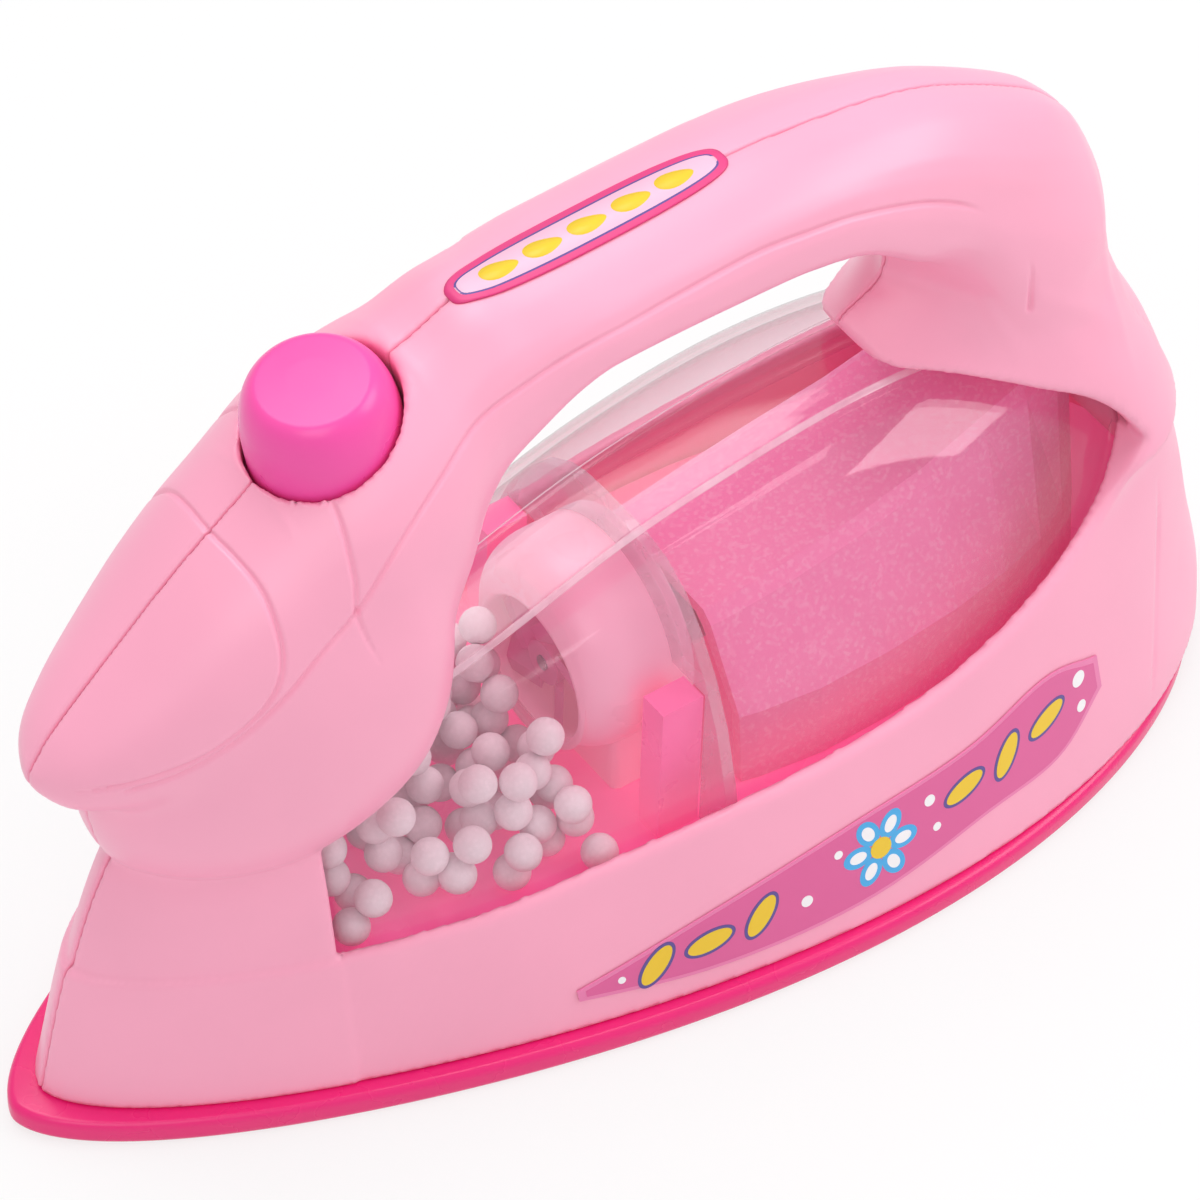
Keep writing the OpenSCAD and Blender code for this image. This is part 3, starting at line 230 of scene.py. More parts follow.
class Grid:
    """A box of sample places and the field over it."""

    def __init__(self, xs, ys, zs):
        self.axes = [np.asarray(a, dtype=np.float32) for a in (xs, ys, zs)]
        self.x, self.y, self.z = (a.reshape([-1 if i == k else 1 for k in range(3)])
                                  for i, a in enumerate(self.axes))
        self.shape = tuple(len(a) for a in self.axes)

    def distance(self, field):
        """The field over its slope, which is close to a distance near its surface."""
        field = np.broadcast_to(field, self.shape).astype(np.float32)
        parts = np.gradient(field, *self.axes)
        slope = np.sqrt(sum(p * p for p in parts)) + 1e-6
        return np.clip(field / slope, -FAR, FAR)

    def sample(self, field, points):
        """The field and its slope at points inside the box."""
        index, share = [], []
        for axis, c in zip(self.axes, points.T):
            i = np.clip(np.searchsorted(axis, c, side="right") - 1, 0, len(axis) - 2)
            index.append(i)
            share.append(np.clip((c - axis[i]) / (axis[i + 1] - axis[i]), 0, 1))
        value = 0
        slope = [0, 0, 0]
        for corner in range(8):
            bits = [(corner >> k) & 1 for k in range(3)]
            f = field[tuple(i + b for i, b in zip(index, bits))]
            w = [s if b else 1 - s for s, b in zip(share, bits)]
            value = value + f * w[0] * w[1] * w[2]
            for k in range(3):
                step = self.axes[k][index[k] + 1] - self.axes[k][index[k]]
                others = [w[m] for m in range(3) if m != k]
                slope[k] = slope[k] + f * (1 if bits[k] else -1) / step * others[0] * others[1]
        return value, np.stack(slope, axis=1)

    def surface(self, field, settle=3):
        """Closed quads round the places where the field is below zero."""
        inside = field < 0
        count = np.zeros(tuple(n - 1 for n in self.shape), dtype=np.int8)
        parts = [slice(None, -1), slice(1, None)]
        for c in range(8):
            count += inside[parts[c & 1], parts[(c >> 1) & 1], parts[(c >> 2) & 1]]
        cells = np.argwhere((count > 0) & (count < 8))
        number = np.full(count.shape, -1, dtype=np.int32)
        number[tuple(cells.T)] = np.arange(len(cells))
        corner_field, corner_place = [], []
        for c in range(8):
            at = cells + [c & 1, (c >> 1) & 1, (c >> 2) & 1]
            corner_field.append(field[tuple(at.T)])
            corner_place.append(np.stack([self.axes[k][at[:, k]] for k in range(3)], axis=1))
        total = np.zeros((len(cells), 3))
        hits = np.zeros(len(cells))
        for a in range(8):
            for k in range(3):
                if not (a >> k) & 1:
                    b = a | (1 << k)
                    fa, fb = corner_field[a], corner_field[b]
                    cross = (fa < 0) != (fb < 0)
                    t = np.where(cross, fa / np.where(cross, fa - fb, 1), 0)
                    total += np.where(cross[:, None],
                                      corner_place[a] + t[:, None] * (corner_place[b] - corner_place[a]), 0)
                    hits += cross
        points = total / hits[:, None]
        quads = []
        for k in range(3):
            low = [slice(None)] * 3
            high = [slice(None)] * 3
            low[k], high[k] = slice(None, -1), slice(1, None)
            change = inside[tuple(low)] != inside[tuple(high)]
            for m in range(3):
                for end in (0, -1) if m != k else ():
                    edge = [slice(None)] * 3
                    edge[m] = end
                    change[tuple(edge)] = False
            at = np.argwhere(change)
            p, q = [m for m in range(3) if m != k]
            ring = []
            for dp, dq in ((1, 1), (0, 1), (0, 0), (1, 0)):
                cell = at.copy()
                cell[:, p] -= dp
                cell[:, q] -= dq
                ring.append(number[tuple(cell.T)])
            face = np.stack(ring, axis=1)
            turn = inside[tuple(at.T)] == (k == 1)
            face[turn] = face[turn][:, ::-1]
            quads.append(face)
        quads = np.concatenate(quads)
        for step in range(settle):
            points = self.relax(points, quads, 0.5 if step < settle - 1 else 0.0, field)
        return points, quads

    def relax(self, points, quads, share, field):
        """Evens the net along the surface, then puts it back on the surface."""
        if share:
            total = np.zeros_like(points)
            hits = np.zeros(len(points))
            for a, b in ((0, 1), (1, 2), (2, 3), (3, 0)):
                for i, j in ((a, b), (b, a)):
                    for k in range(3):
                        total[:, k] += np.bincount(quads[:, i], points[quads[:, j], k], len(points))
                    hits += np.bincount(quads[:, i], minlength=len(points))
            move = (total / np.maximum(hits, 1)[:, None] - points) * share
            _, slope = self.sample(field, points)
            n = slope / (np.linalg.norm(slope, axis=1)[:, None] + 1e-9)
            points = points + move - n * np.sum(move * n, axis=1)[:, None]
        value, slope = self.sample(field, points)
        size = np.sum(slope * slope, axis=1) + 1e-6
        step = np.clip(value / size, -0.4, 0.4)[:, None] * slope
        return points - step


# ---------------------------------------------------------------- housing forms
def plan_field(g, inset=0.0):
    """The boat-shaped plan of the wall, which leans inwards with height."""
    x0, x1 = toe_x(g.z) + inset, heel_x(g.z) - inset
    u = (g.x - x0) / (x1 - x0)
    s = np.sin(np.pi * np.sign(u) * np.abs(u) ** BOW_POWER)
    wide = HALF_WIDTH - DRAFT * (g.z - SOLE_THICK) - inset
    return (np.abs(g.y) / wide) ** (1 / BOW_ROUND) - s


def crown_field(g, inset=0.0):
    """The arched crest between the two sills."""
    top = crest_z(g.x) - inset
    low = shoulder_z(g.x, top, top - 20)
    t = np.maximum((g.z - low) / np.maximum(top - low, 4), 0)
    wide = np.maximum(wall_w(g.x, g.z, inset), 5)
    return (np.abs(g.y) / wide) ** CROWN_ROUND + t ** CROWN_RISE - 1


def form_rows(x, wide, high, middle, inset):
    """Rows of place, section area, section slimness and middle height, drawn in by the inset."""
    wide, high = wide - inset, high - inset
    area = np.where((wide > 0) & (high > 0), wide * high, -np.abs(wide) - np.abs(high))
    slim = np.maximum(high, 0.5) / np.maximum(wide, 0.5)
    return np.stack([x, area, slim, middle], axis=1)


def egg_field(g, table, inset=0.0, power=2.3):
    """A rounded form along X, from rows of length, top, bottom and width shares."""
    t = np.array(table)
    rows = form_rows(t[:, 0] * LENGTH, t[:, 3] * HEAD_WIDTH / 2, (t[:, 1] - t[:, 2]) / 2 * HEIGHT,
                     (t[:, 1] + t[:, 2]) / 2 * HEIGHT, inset)
    area = curve(rows, g.x, 1)
    flat = np.sqrt(np.clip(curve(rows, g.x, 2), 0.5, 2.5))
    dz = (g.z - curve(rows, g.x, 3)) / flat
    return ((np.abs(g.y) * flat) ** power + np.abs(dz) ** power) ** (2 / power) - area


def grip_radius():
    """The grip's section as radius over angle, with its corners slightly eased."""
    pts = np.array(GRIP)
    many = np.concatenate([pts[i] + (pts[i + 1] - pts[i]) * np.linspace(0, 1, 24, endpoint=False)[:, None]
                           for i in range(len(pts) - 1)] + [pts[-1:]])
    angle = np.arctan2(many[:, 1], many[:, 0])
    even = np.linspace(-math.pi / 2, math.pi / 2, 361)
    radius = np.interp(even, angle, np.hypot(many[:, 0], many[:, 1]))
    ease = np.exp(-(np.arange(-6, 7) / 3.0) ** 2)
    padded = np.concatenate([radius[6:0:-1], radius, radius[-2:-8:-1]])
    return even, np.convolve(padded, ease / ease.sum(), mode="valid")


def handle_field(g, inset=0.0):
    """The handle along X, with the grip's own section."""
    t = np.array(HANDLE)
    half = t[:, 2] * GRIP_THICK / 2
    rows = form_rows(t[:, 0] * LENGTH, t[:, 3] * GRIP_WIDTH / 2, half, t[:, 1] * HEIGHT - half, inset)
    area = curve(rows, g.x, 1)
    flat = np.sqrt(np.clip(curve(rows, g.x, 2), 0.3, 3))
    dz = (g.z - curve(rows, g.x, 3)) / flat
    dy = np.abs(g.y) * flat
    even, radius = grip_radius()
    return (dy * dy + dz * dz) / np.interp(np.arctan2(dz, dy), even, radius) ** 2 - area


def pillar_field(g, inset=0.0):
    """The rear pillar's drop-shaped plan over its height."""
    share = g.z / HEIGHT
    x0, x1 = LENGTH * curve(PILLAR, share, 1) + inset, LENGTH * curve(PILLAR, share, 2) - inset
    wide = np.maximum(GRIP_WIDTH / 2 * curve(PILLAR, share, 3) - inset, 3)
    v = (g.x - x0) / (x1 - x0)
    s = np.sin(np.pi * np.sign(v) * np.minimum(np.abs(v), 1.3) ** BOW_POWER)
    return (np.abs(g.y) / wide) ** (1 / PILLAR_ROUND) - s


def line_distance(points, path):
    """Distance from each point to a line through the places of a path."""
    best = np.full(len(points), 1e9, dtype=np.float32)
    for a, b in zip(path[:-1], path[1:]):
        run = b - a
        share = np.clip((points - a) @ run / (run @ run), 0, 1)
        best = np.minimum(best, np.linalg.norm(points - a - share[:, None] * run, axis=1))
    return best


def smooth_path(path, step=0.8):
    """Places about a step apart on a smooth line through the places of a path."""
    t = np.array(path, dtype=float)
    own = np.concatenate([[0], np.cumsum(np.linalg.norm(np.diff(t, axis=0), axis=1))])
    rows = np.column_stack([own, t])
    at = np.linspace(0, own[-1], int(own[-1] / step) + 2)
    return np.stack([curve(rows, at, c) for c in (1, 2, 3)], axis=1)


def press_lines(piece, lines, side):
    """Presses fine grooves into a housing half: the net is made finer along each line, then moved inwards."""
    margin, finer, reach = 2, 1.15, 1.2
    paths = []
    for places, depth, width, ends in lines:
        path = smooth_path(places)
        path[:, 1] = np.abs(path[:, 1]) * side
        paths.append((path.astype(np.float32), depth, width, ends))
    work = bmesh.new()
    work.from_mesh(piece.data)

    def places_now():
        """The net's points in toe-based millimetres."""
        at = np.array([v.co[:] for v in work.verts], dtype=np.float32) / MM
        at[:, 0] += LENGTH / 2
        return at

    def near(at, path):
        """Numbers of the places about a path, and how far they are from it."""
        low, high = path.min(axis=0) - margin, path.max(axis=0) + margin
        pick = np.flatnonzero(np.all((at > low) & (at < high), axis=1))
        return pick, line_distance(at[pick], path)

    at = places_now()
    close = np.zeros(len(at), dtype=bool)
    for path, _, _, _ in paths:
        pick, away = near(at, path)
        close[pick[away < finer]] = True
    work.verts.ensure_lookup_table()
    edges = [e for e in work.edges if close[e.verts[0].index] and close[e.verts[1].index]]
    bmesh.ops.subdivide_edges(work, edges=edges, cuts=3, use_grid_fill=True)
    work.verts.index_update()
    work.normal_update()
    at = places_now()
    work.verts.ensure_lookup_table()
    for path, depth, width, ends in paths:
        pick, away = near(at, path)
        nearest = np.argmin(np.linalg.norm(at[pick][:, None, :] - path[None, ::2, :], axis=2), axis=1)
        run = np.linspace(0, 1, len(path))[::2][nearest]
        fade = np.clip(np.minimum((run + 0.02) / max(ends[0], 1e-3), (1.02 - run) / max(ends[1], 1e-3)), 0, 1)
        for i, d, f in zip(pick, away, fade):
            if d < reach:
                v = work.verts[int(i)]
                v.co -= v.normal * float(MM * depth * f * math.exp(-(d / width) ** 2))
    work.to_mesh(piece.data)
    work.free()


def drawn_in(g, field, depth):
    """The form left when its surface moves inwards by depth, read from near places only."""
    out = field.copy()
    spacing = [np.diff(a).mean() for a in g.axes]
    most = 3
    for step in itertools.product(range(-most, most + 1), repeat=3):
        if math.gcd(*step) != 1 and max(map(abs, step)) < most:
            continue
        size = math.sqrt(sum((d * r) ** 2 for d, r in zip(step, spacing)))
        if size < depth * 1.45:
            to = tuple(slice(max(0, -d), n - max(0, d)) for d, n in zip(step, g.shape))
            take = tuple(slice(max(0, d), n - max(0, -d)) for d, n in zip(step, g.shape))
            np.maximum(out[to], field[take] - size, out=out[to])
    return out + depth


def button_place(x, y, z):
    """Place along and away from the button's axis."""
    dx, dz = x - BUTTON_X, z - BUTTON_Z
    along = -dx * math.sin(BUTTON_LEAN) + dz * math.cos(BUTTON_LEAN)
    side = dx * math.cos(BUTTON_LEAN) + dz * math.sin(BUTTON_LEAN)
    return along, np.hypot(side, y)


def window_field(g):
    """The window between the sill and the hood's lip, which rises again ahead of its first place."""
    lip_start, lip_rise = LIP[0][0] * LENGTH, 1.5
    lip = np.where(g.x < lip_start, HEIGHT * LIP[0][1] + (lip_start - g.x) * lip_rise, lip_z(g.x))
    sill_slope, lip_slope = (np.sqrt(1 + np.gradient(line, g.axes[0]) ** 2).reshape(-1, 1, 1)
                             for line in (sill_z(g.axes[0]), lip[:, 0, 0]))
    return np.maximum(np.maximum((sill_z(g.x) - g.z) / sill_slope, (g.z - lip) / lip_slope), SILL_FRONT - g.x)


def outer_field(g, ledge):
    """The housing's outer form: the lower wall, the hood over the window, the head and the handle."""
    front = SILL_FRONT - g.x
    # The crest's far field is held back, so that nothing else blends with it
    plan = g.distance(plan_field(g))
    crown = np.maximum(g.distance(crown_field(g)), (g.z - crest_z(g.x)) * 0.5)
    body = smooth_max(plan, np.where(g.x < SILL_FRONT, -FAR, crown), 1.0)
    # The pillar stands on the body and dives into the handle from the height dive on
    dive, steepness, rear = 80, 0.7, 100
    handle = g.distance(handle_field(g))
    pillar = np.maximum(g.distance(pillar_field(g)), PILLAR_FOOT - g.z)
    pillar = smooth_max(pillar, handle + (g.z - dive) * steepness, 4.0)
    lower = smooth_max(smooth_min(body, pillar, 9.0), -window_field(g), 1.0)
    lower = smooth_max(lower, np.minimum(g.z - ledge, front), 0.7)
    column = smooth_max(g.distance(plan_field(g, LEDGE_STEP)), np.maximum(-front, g.z - COLUMN_TOP), 0.7)
    head = smooth_min(g.distance(egg_field(g, NOSE)), g.distance(egg_field(g, CHEEK)), 1.5)
    outer = smooth_min(smooth_min(lower, column, 0.3), smooth_min(head, handle, 4.0), 0.8)
    outer = np.where(g.x > rear, smooth_min(lower, handle, 6.0), outer)
    scoop = sum(((c - middle) / r) ** 2 for c, middle, r in zip((g.x, g.y, g.z), *SCOOP)) - 1
    return smooth_max(outer, -g.distance(scoop), 3.0)


def room_field(g, ledge, outer):
    """The room inside: the same forms drawn in by the wall, but no nearer to the outside than the least wall."""
    least_wall, below_sill, rim_height, rim_wall = 1.3, 0.8, 3.2, 0.55
    plan_in, crown_in = g.distance(plan_field(g, WALL)), g.distance(crown_field(g, WALL))
    front_in = np.minimum(np.maximum(plan_in, g.z - ledge + WALL),
                          np.maximum(g.distance(plan_field(g, LEDGE_STEP + WALL)), g.z - COLUMN_TOP + WALL))
    room = np.where(g.x < SILL_FRONT, front_in, np.maximum(plan_in, crown_in))
    for form in (egg_field(g, NOSE, WALL), egg_field(g, CHEEK, WALL), handle_field(g, WALL)):
        room = np.minimum(room, g.distance(form))
    ends = np.maximum(g.z - PILLAR_ROOM_TOP + WALL, PILLAR_FOOT - g.z)
    room = np.minimum(room, np.maximum(g.distance(pillar_field(g, WALL)), ends))
    guarded = np.maximum(room, drawn_in(g, outer.astype(np.float32), least_wall))
    open_below = (g.x > SILL_FRONT) & (g.z < sill_z(g.x) + below_sill)
    return np.where(open_below, room + np.where(g.z > sill_z(g.x) - rim_height, rim_wall, 0), guarded)


def housing_half(g, outer, room, far):
    """One closed shell between its outer form, its room, the parting plane and the sole."""
    along, away = button_place(g.x, g.y, g.z)
    collar = np.maximum(away - BUTTON_RADIUS - BUTTON_GAP - WALL, -COLLAR_DEPTH - along)
    shell = np.minimum(smooth_max(outer, -room, 0.3), np.maximum(collar, outer))
    for length_share, height_share in BOSSES:
        r = np.hypot(g.x - length_share * LENGTH, g.z - height_share * HEIGHT)
        shell = np.minimum(shell, np.maximum(r - BOSS_RADIUS, outer + 0.3))
        shell = np.maximum(shell, -np.maximum(r - PILOT_RADIUS, g.y - PILOT_DEPTH))
        if far:
            shell = smooth_max(shell, -np.maximum(r - HEAD_RADIUS, HEAD_SEAT - g.y), 0.4)
    shell = smooth_max(shell, np.minimum(BUTTON_RADIUS + BUTTON_GAP - away, along + WELL_DEPTH), 0.5)
    shell = smooth_max(shell, SOLE_THICK - g.z, 0.4)
    return smooth_max(shell, SEAM - g.y + 0 * g.x, 0.25)


# ---------------------------------------------------------------- meshes
def made(name, points, faces, materials, body="body", smooth=True, picks=None):
    """A piece from points in the row frame, riding on its body if one is named."""
    mesh = bpy.data.meshes.new(name)
    mesh.from_pydata([tuple(p) for p in points], [], [tuple(int(i) for i in f) for f in faces])
    mesh.validate()
    for m in materials:
        mesh.materials.append(m)
    mesh.polygons.foreach_set("use_smooth", [smooth] * len(mesh.polygons))
    if picks is not None:
        mesh.polygons.foreach_set("material_index", picks)
    mesh.update()
    piece = bpy.data.objects.new(name, mesh)
    bpy.context.scene.collection.objects.link(piece)
    if body is not None:
        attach(piece, body)
    return piece


def tidy_normals(piece):
    """Turns every face outwards."""
    work = bmesh.new()
    work.from_mesh(piece.data)
    bmesh.ops.recalc_face_normals(work, faces=work.faces)
    work.to_mesh(piece.data)
    work.free()


def cut_out(piece, forms):
    """Cuts closed forms, each given as points in millimetres and faces, out of a piece."""
    for points, faces in forms:
        mesh = bpy.data.meshes.new("cutter")
        mesh.from_pydata([tuple(p) for p in row(points)], [], faces)
        tool = bpy.data.objects.new("cutter", mesh)
        bpy.context.scene.collection.objects.link(tool)
        tidy_normals(tool)
        cut = piece.modifiers.new("cut", "BOOLEAN")
        cut.operation = "DIFFERENCE"
        cut.solver = "EXACT"
        cut.object = tool
        bpy.context.view_layer.update()
        done = bpy.data.meshes.new_from_object(piece.evaluated_get(bpy.context.evaluated_depsgraph_get()))
        piece.modifiers.clear()
        piece.data = done
        bpy.data.objects.remove(tool)
        bpy.data.meshes.remove(mesh)


def prism(outline, low, high):
    """Points and faces of a plan outline between two heights."""
    n = len(outline)
    points = [(x, y, low) for x, y in outline] + [(x, y, high) for x, y in outline]
    faces = [tuple(range(n))[::-1], tuple(range(n, 2 * n))]
    return points, faces + [(i, (i + 1) % n, n + (i + 1) % n, n + i) for i in range(n)]


def quads_between(a, b, closed=True):
    """Quads from one ring of point numbers to the next."""
    n = len(a)
    return [(a[i], a[(i + 1) % n], b[(i + 1) % n], b[i]) for i in range(n if closed else n - 1)]


def rings_of(rows):
    """The points of all rows in one list, and the numbers of each row's points."""
    points, rings = [], []
    for places in rows:
        rings.append(list(range(len(points), len(points) + len(places))))
        points += places
    return points, rings


def lofted(rings, closed=True):
    """Quads from each ring of point numbers to the next."""
    return [f for a, b in zip(rings[:-1], rings[1:]) for f in quads_between(a, b, closed)]


def across(ring, shift=0, flip=False):
    """Faces that close a ring of two like sides; shift is 0 where it starts with a tip, or else -1."""
    faces = []
    for k in range((len(ring) + shift) // 2):
        face = tuple(dict.fromkeys((ring[k], ring[k + 1], ring[shift - k - 1], ring[shift - k])))
        faces.append(face[::-1] if flip else face)
    return faces


def turned(profile, steps):
    """Points and faces of a profile of radius and height turned about Z, closed where its radius is 0."""
    points, rings = [], []
    for r, z in profile:
        if r <= 1e-6:
            rings.append([len(points)])
            points.append((0, 0, z))
        else:
            rings.append(list(range(len(points), len(points) + steps)))
            points += [(r * math.cos(2 * math.pi * k / steps), r * math.sin(2 * math.pi * k / steps), z)
                       for k in range(steps)]
    faces = []
    for a, b in zip(rings[:-1], rings[1:]):
        for k in range(steps):
            k2 = (k + 1) % steps
            if len(a) == 1 and len(b) == 1:
                continue
            if len(a) == 1:
                faces.append((a[0], b[k], b[k2]))
            elif len(b) == 1:
                faces.append((a[k], b[0], a[k2]))
            else:
                faces.append((a[k], b[k], b[k2], a[k2]))
    return np.array(points), faces


def eased(profile, radius, steps=3):
    """A profile with its corners rounded; a third value in a row sets that corner's own radius."""
    out = []
    pts = [np.array(p[:2], dtype=float) for p in profile]
    for i, p in enumerate(pts):
        r = profile[i][2] if len(profile[i]) > 2 else radius
        if i in (0, len(pts) - 1) or r <= 0:
            out.append(p)
            continue
        a, b = pts[i - 1] - p, pts[i + 1] - p
        cut = min(r, np.linalg.norm(a) * 0.45, np.linalg.norm(b) * 0.45)
        p0, p1 = p + a / np.linalg.norm(a) * cut, p + b / np.linalg.norm(b) * cut
        for k in range(steps + 1):
            t = k / steps
            out.append((1 - t) ** 2 * p0 + 2 * t * (1 - t) * p + t * t * p1)
    return [tuple(p) for p in out]


def on_button_axis(points):
    """Points about the button's own axis, put in place."""
    turn = Matrix.Rotation(-BUTTON_LEAN, 4, "Y")
    move = Matrix.Translation((BUTTON_X, 0, BUTTON_Z))
    return np.array([(move @ turn @ Vector(p))[:] for p in points])


# ---------------------------------------------------------------- materials
def laid(tree, kind, inputs=None, **settings):
    """A new node with its settings, each of its inputs linked to a socket or set to a value."""
    node = tree.nodes.new("ShaderNode" + kind)
    for key, value in settings.items():
        setattr(node, key, value)
    for key, value in (inputs or {}).items():
        if isinstance(value, bpy.types.NodeSocket):
            tree.links.new(value, node.inputs[key])
        else:
            node.inputs[key].default_value = value
    return node


class Shader:
    """A material and a short way to lay nodes in it."""

    def __init__(self, name, colour, roughness=0.4, glow=None):
        self.material = bpy.data.materials.new(name)
        self.material.use_nodes = True
        self.tree = self.material.node_tree
        self.main = self.tree.nodes["Principled BSDF"]
        self.main.inputs["Base Color"].default_value = (*colour, 1)
        self.main.inputs["Roughness"].default_value = roughness
        if glow is not None:
            self.main.inputs["Emission Color"].default_value = (*colour, 1)
            self.main.inputs["Emission Strength"].default_value = glow
        self.place = self.lay("TexCoord")["Object"]

    def lay(self, kind, inputs=None, **settings):
        """The outputs of a new node."""
        return laid(self.tree, kind, inputs, **settings).outputs

    def drive(self, name, socket):
        """Links a socket to one input of the plastic."""
        self.tree.links.new(socket, self.main.inputs[name])

    def surface(self, socket):
        """Makes a socket the whole surface."""
        self.tree.links.new(socket, self.tree.nodes["Material Output"].inputs["Surface"])

    def noise(self, size, detail=2.0):
        """Noise whose patches are about size metres wide."""
        return self.lay("TexNoise", {"Scale": 1 / size, "Detail": detail, "Vector": self.place})["Fac"]

    def cells(self, size):
        """The outputs of cells that are about size metres wide."""
        return self.lay("TexVoronoi", {"Scale": 1 / size, "Vector": self.place})

    def ranged(self, source, low, high, start=0.3, end=0.7):
        """A value from low to high as the source goes from start to end."""
        return self.lay("MapRange", {"From Min": start, "From Max": end, "To Min": low, "To Max": high,
                                     "Value": source})["Result"]

    def mixed(self, share, a, b):
        """Colour a where the share is 0 and b where it is 1."""
        node = laid(self.tree, "Mix", {"Factor": share}, data_type="RGBA")
        for key, colour in (("A", a), ("B", b)):
            next(s for s in node.inputs if s.name == key and s.type == "RGBA").default_value = (*colour, 1)
        return next(s for s in node.outputs if s.type == "RGBA")

    def bump(self, source, depth, strength=1.0):
        """Relief of a depth in metres."""
        self.drive("Normal", self.lay("Bump", {"Distance": depth, "Strength": strength, "Height": source})["Normal"])


def linear(colour):
    """A screen colour of 0 to 255 as the scene's linear colour."""
    c = np.array(colour, dtype=float) / 255
    return tuple(float(v) for v in np.where(c <= 0.04045, c / 12.92, ((c + 0.055) / 1.055) ** 2.4))


def moulded(name, colour, rough=(0.3, 0.4), tint=0.05, grain=0.00001, glow=0.0):
    """Injection-moulded plastic: a faint flow in its colour, an uneven gloss and a fine skin.

    A little glow stands for the light that reaches an inner piece through the pink walls."""
    s = Shader(name, colour, glow=glow)
    dark = tuple(c * (1 - tint) for c in colour)
    s.drive("Base Color", s.mixed(s.ranged(s.noise(0.028, 3), 0, 1), dark, colour))
    s.drive("Roughness", s.ranged(s.noise(0.012, 4), *rough))
    s.bump(s.noise(0.0011, 3), grain, 0.35)
    return s.material


def clear_plastic(name, tint, haze_colour, haze=0.06):
    """Clear polystyrene: straight-through light, a bright skin at a slant and a trace of haze."""
    s = Shader(name, haze_colour, 0.25)
    through = s.lay("BsdfTransparent", {"Color": (*tint, 1)})[0]
    gloss = s.lay("BsdfGlossy", {"Roughness": s.ranged(s.noise(0.02, 3), 0.03, 0.07)})[0]
    share = s.ranged(s.noise(0.006, 4), haze * 0.7, haze * 1.3)
    milky = s.lay("MixShader", {0: share, 1: through, 2: s.main.outputs[0]})[0]
    slant = s.lay("LayerWeight", {"Blend": 0.5})["Facing"]
    steep = s.lay("Math", {0: slant, 1: 5}, operation="POWER")[0]
    bright = s.lay("Math", {0: steep, 1: 0.9, 2: 0.04}, operation="MULTIPLY_ADD")[0]
    s.surface(s.lay("MixShader", {0: bright, 1: milky, 2: gloss})[0])
    return s.material


def frosted(name, colour, glow=0.0):
    """Pink plastic with a fine glitter in it."""
    s = Shader(name, colour, glow=glow)
    tone = s.lay("SeparateColor", {0: s.cells(0.00042)["Color"]})
    pale = tuple(min(1, c + (1 - c) * 0.13) for c in colour)
    s.drive("Base Color", s.mixed(s.ranged(tone[0], 0, 1, 0.6, 1.0), colour, pale))
    s.drive("Roughness", s.ranged(tone[1], 0.38, 0.6, 0, 1))
    s.bump(s.noise(0.0005, 3), 0.00001, 0.3)
    return s.material


def foam(name, colour):
    """Expanded foam: pale, matt and slightly cellular."""
    s = Shader(name, colour, 0.75)
    cell = s.cells(0.0006)["Distance"]
    s.drive("Base Color", s.mixed(s.ranged(cell, 0, 1, 0, 0.6), colour, tuple(c * 0.93 for c in colour)))
    s.bump(cell, 0.00005, 0.5)
    return s.material


def metal(name, colour, rough=(0.25, 0.4)):
    """Plated steel with fine drawn lines."""
    s = Shader(name, colour)
    s.main.inputs["Metallic"].default_value = 1
    s.drive("Roughness", s.ranged(s.noise(0.0015, 4), *rough))
    s.bump(s.noise(0.0004, 2), 0.000006, 0.3)
    return s.material


# ---------------------------------------------------------------- pieces
def housing_pieces(paint):
    """Both moulded halves, each a closed shell."""
    step = bpy.context.scene.toy_iron_shell.net_step / MM
    # One half's box, whose first places across are close together for the parting line
    seam_places = [-0.5, -0.15, 0.2, 0.55, 0.95, 1.4, 1.9, 2.45]
    g = Grid(np.arange(-1.5, 176, step), np.concatenate([seam_places, np.arange(3.05, 38, step)]),
             np.arange(2.2, 106.5, step))
    ledge = HEIGHT * SILL[0][1]
    outer = outer_field(g, ledge)
    room = room_field(g, ledge, outer)
    for name, far in (("near_half", False), ("far_half", True)):
        field = housing_half(g, outer, room, far).astype(np.float32)
        points, quads = g.surface(field)
        if not far:
            points[:, 1] *= -1
            quads = quads[:, ::-1]
        piece = made(name, row(points), quads, [paint])
        press_lines(piece, housing_lines(), 1 if far else -1)
        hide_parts("right_housing" if far else "left_housing")


# Places of the moulded lines on the far half of the housing, mirrored on the near one
CAP_LINE = [(29.3, 0.4, 83.9), (29.6, 5.0, 83.6), (30.1, 9.1, 82.0), (30.1, 11.9, 79.3), (29.9, 13.9, 75.6),
            (29.0, 14.6, 72.1), (27.1, 14.5, 69.0), (24.8, 14.0, 66.7), (21.0, 12.8, 63.9), (18.5, 11.9, 62.7),
            (16.0, 11.0, 61.9), (12.5, 9.4, 60.9), (9.3, 7.6, 60.2), (7.5, 6.2, 59.7)]
SIDE_LINE = [(11.9, 9.1, 59.7), (16.7, 11.2, 60.9), (20.3, 12.6, 62.6), (24.8, 14.0, 65.6), (29.4, 15.2, 69.9),
             (33.6, 15.6, 74.2), (38.5, 15.7, 78.4), (44.7, 15.1, 85.3), (51.1, 13.6, 90.4), (58.1, 11.2, 94.1),
             (65, 11, 96), (72, 11, 97.4), (79, 11, 98), (86, 11, 98.6), (96.8, 10.9, 99.1), (103.7, 11.1, 98.6),
             (110.8, 11.3, 97.6), (119.8, 11.2, 94.6), (125.7, 11.3, 91.5), (130.2, 12.2, 88.0), (132.4, 12.9, 85.4),
             (134.3, 13.3, 82.5), (135.8, 13.4, 79.0), (136.4, 13.3, 75.9), (136.5, 13.2, 70.3)]
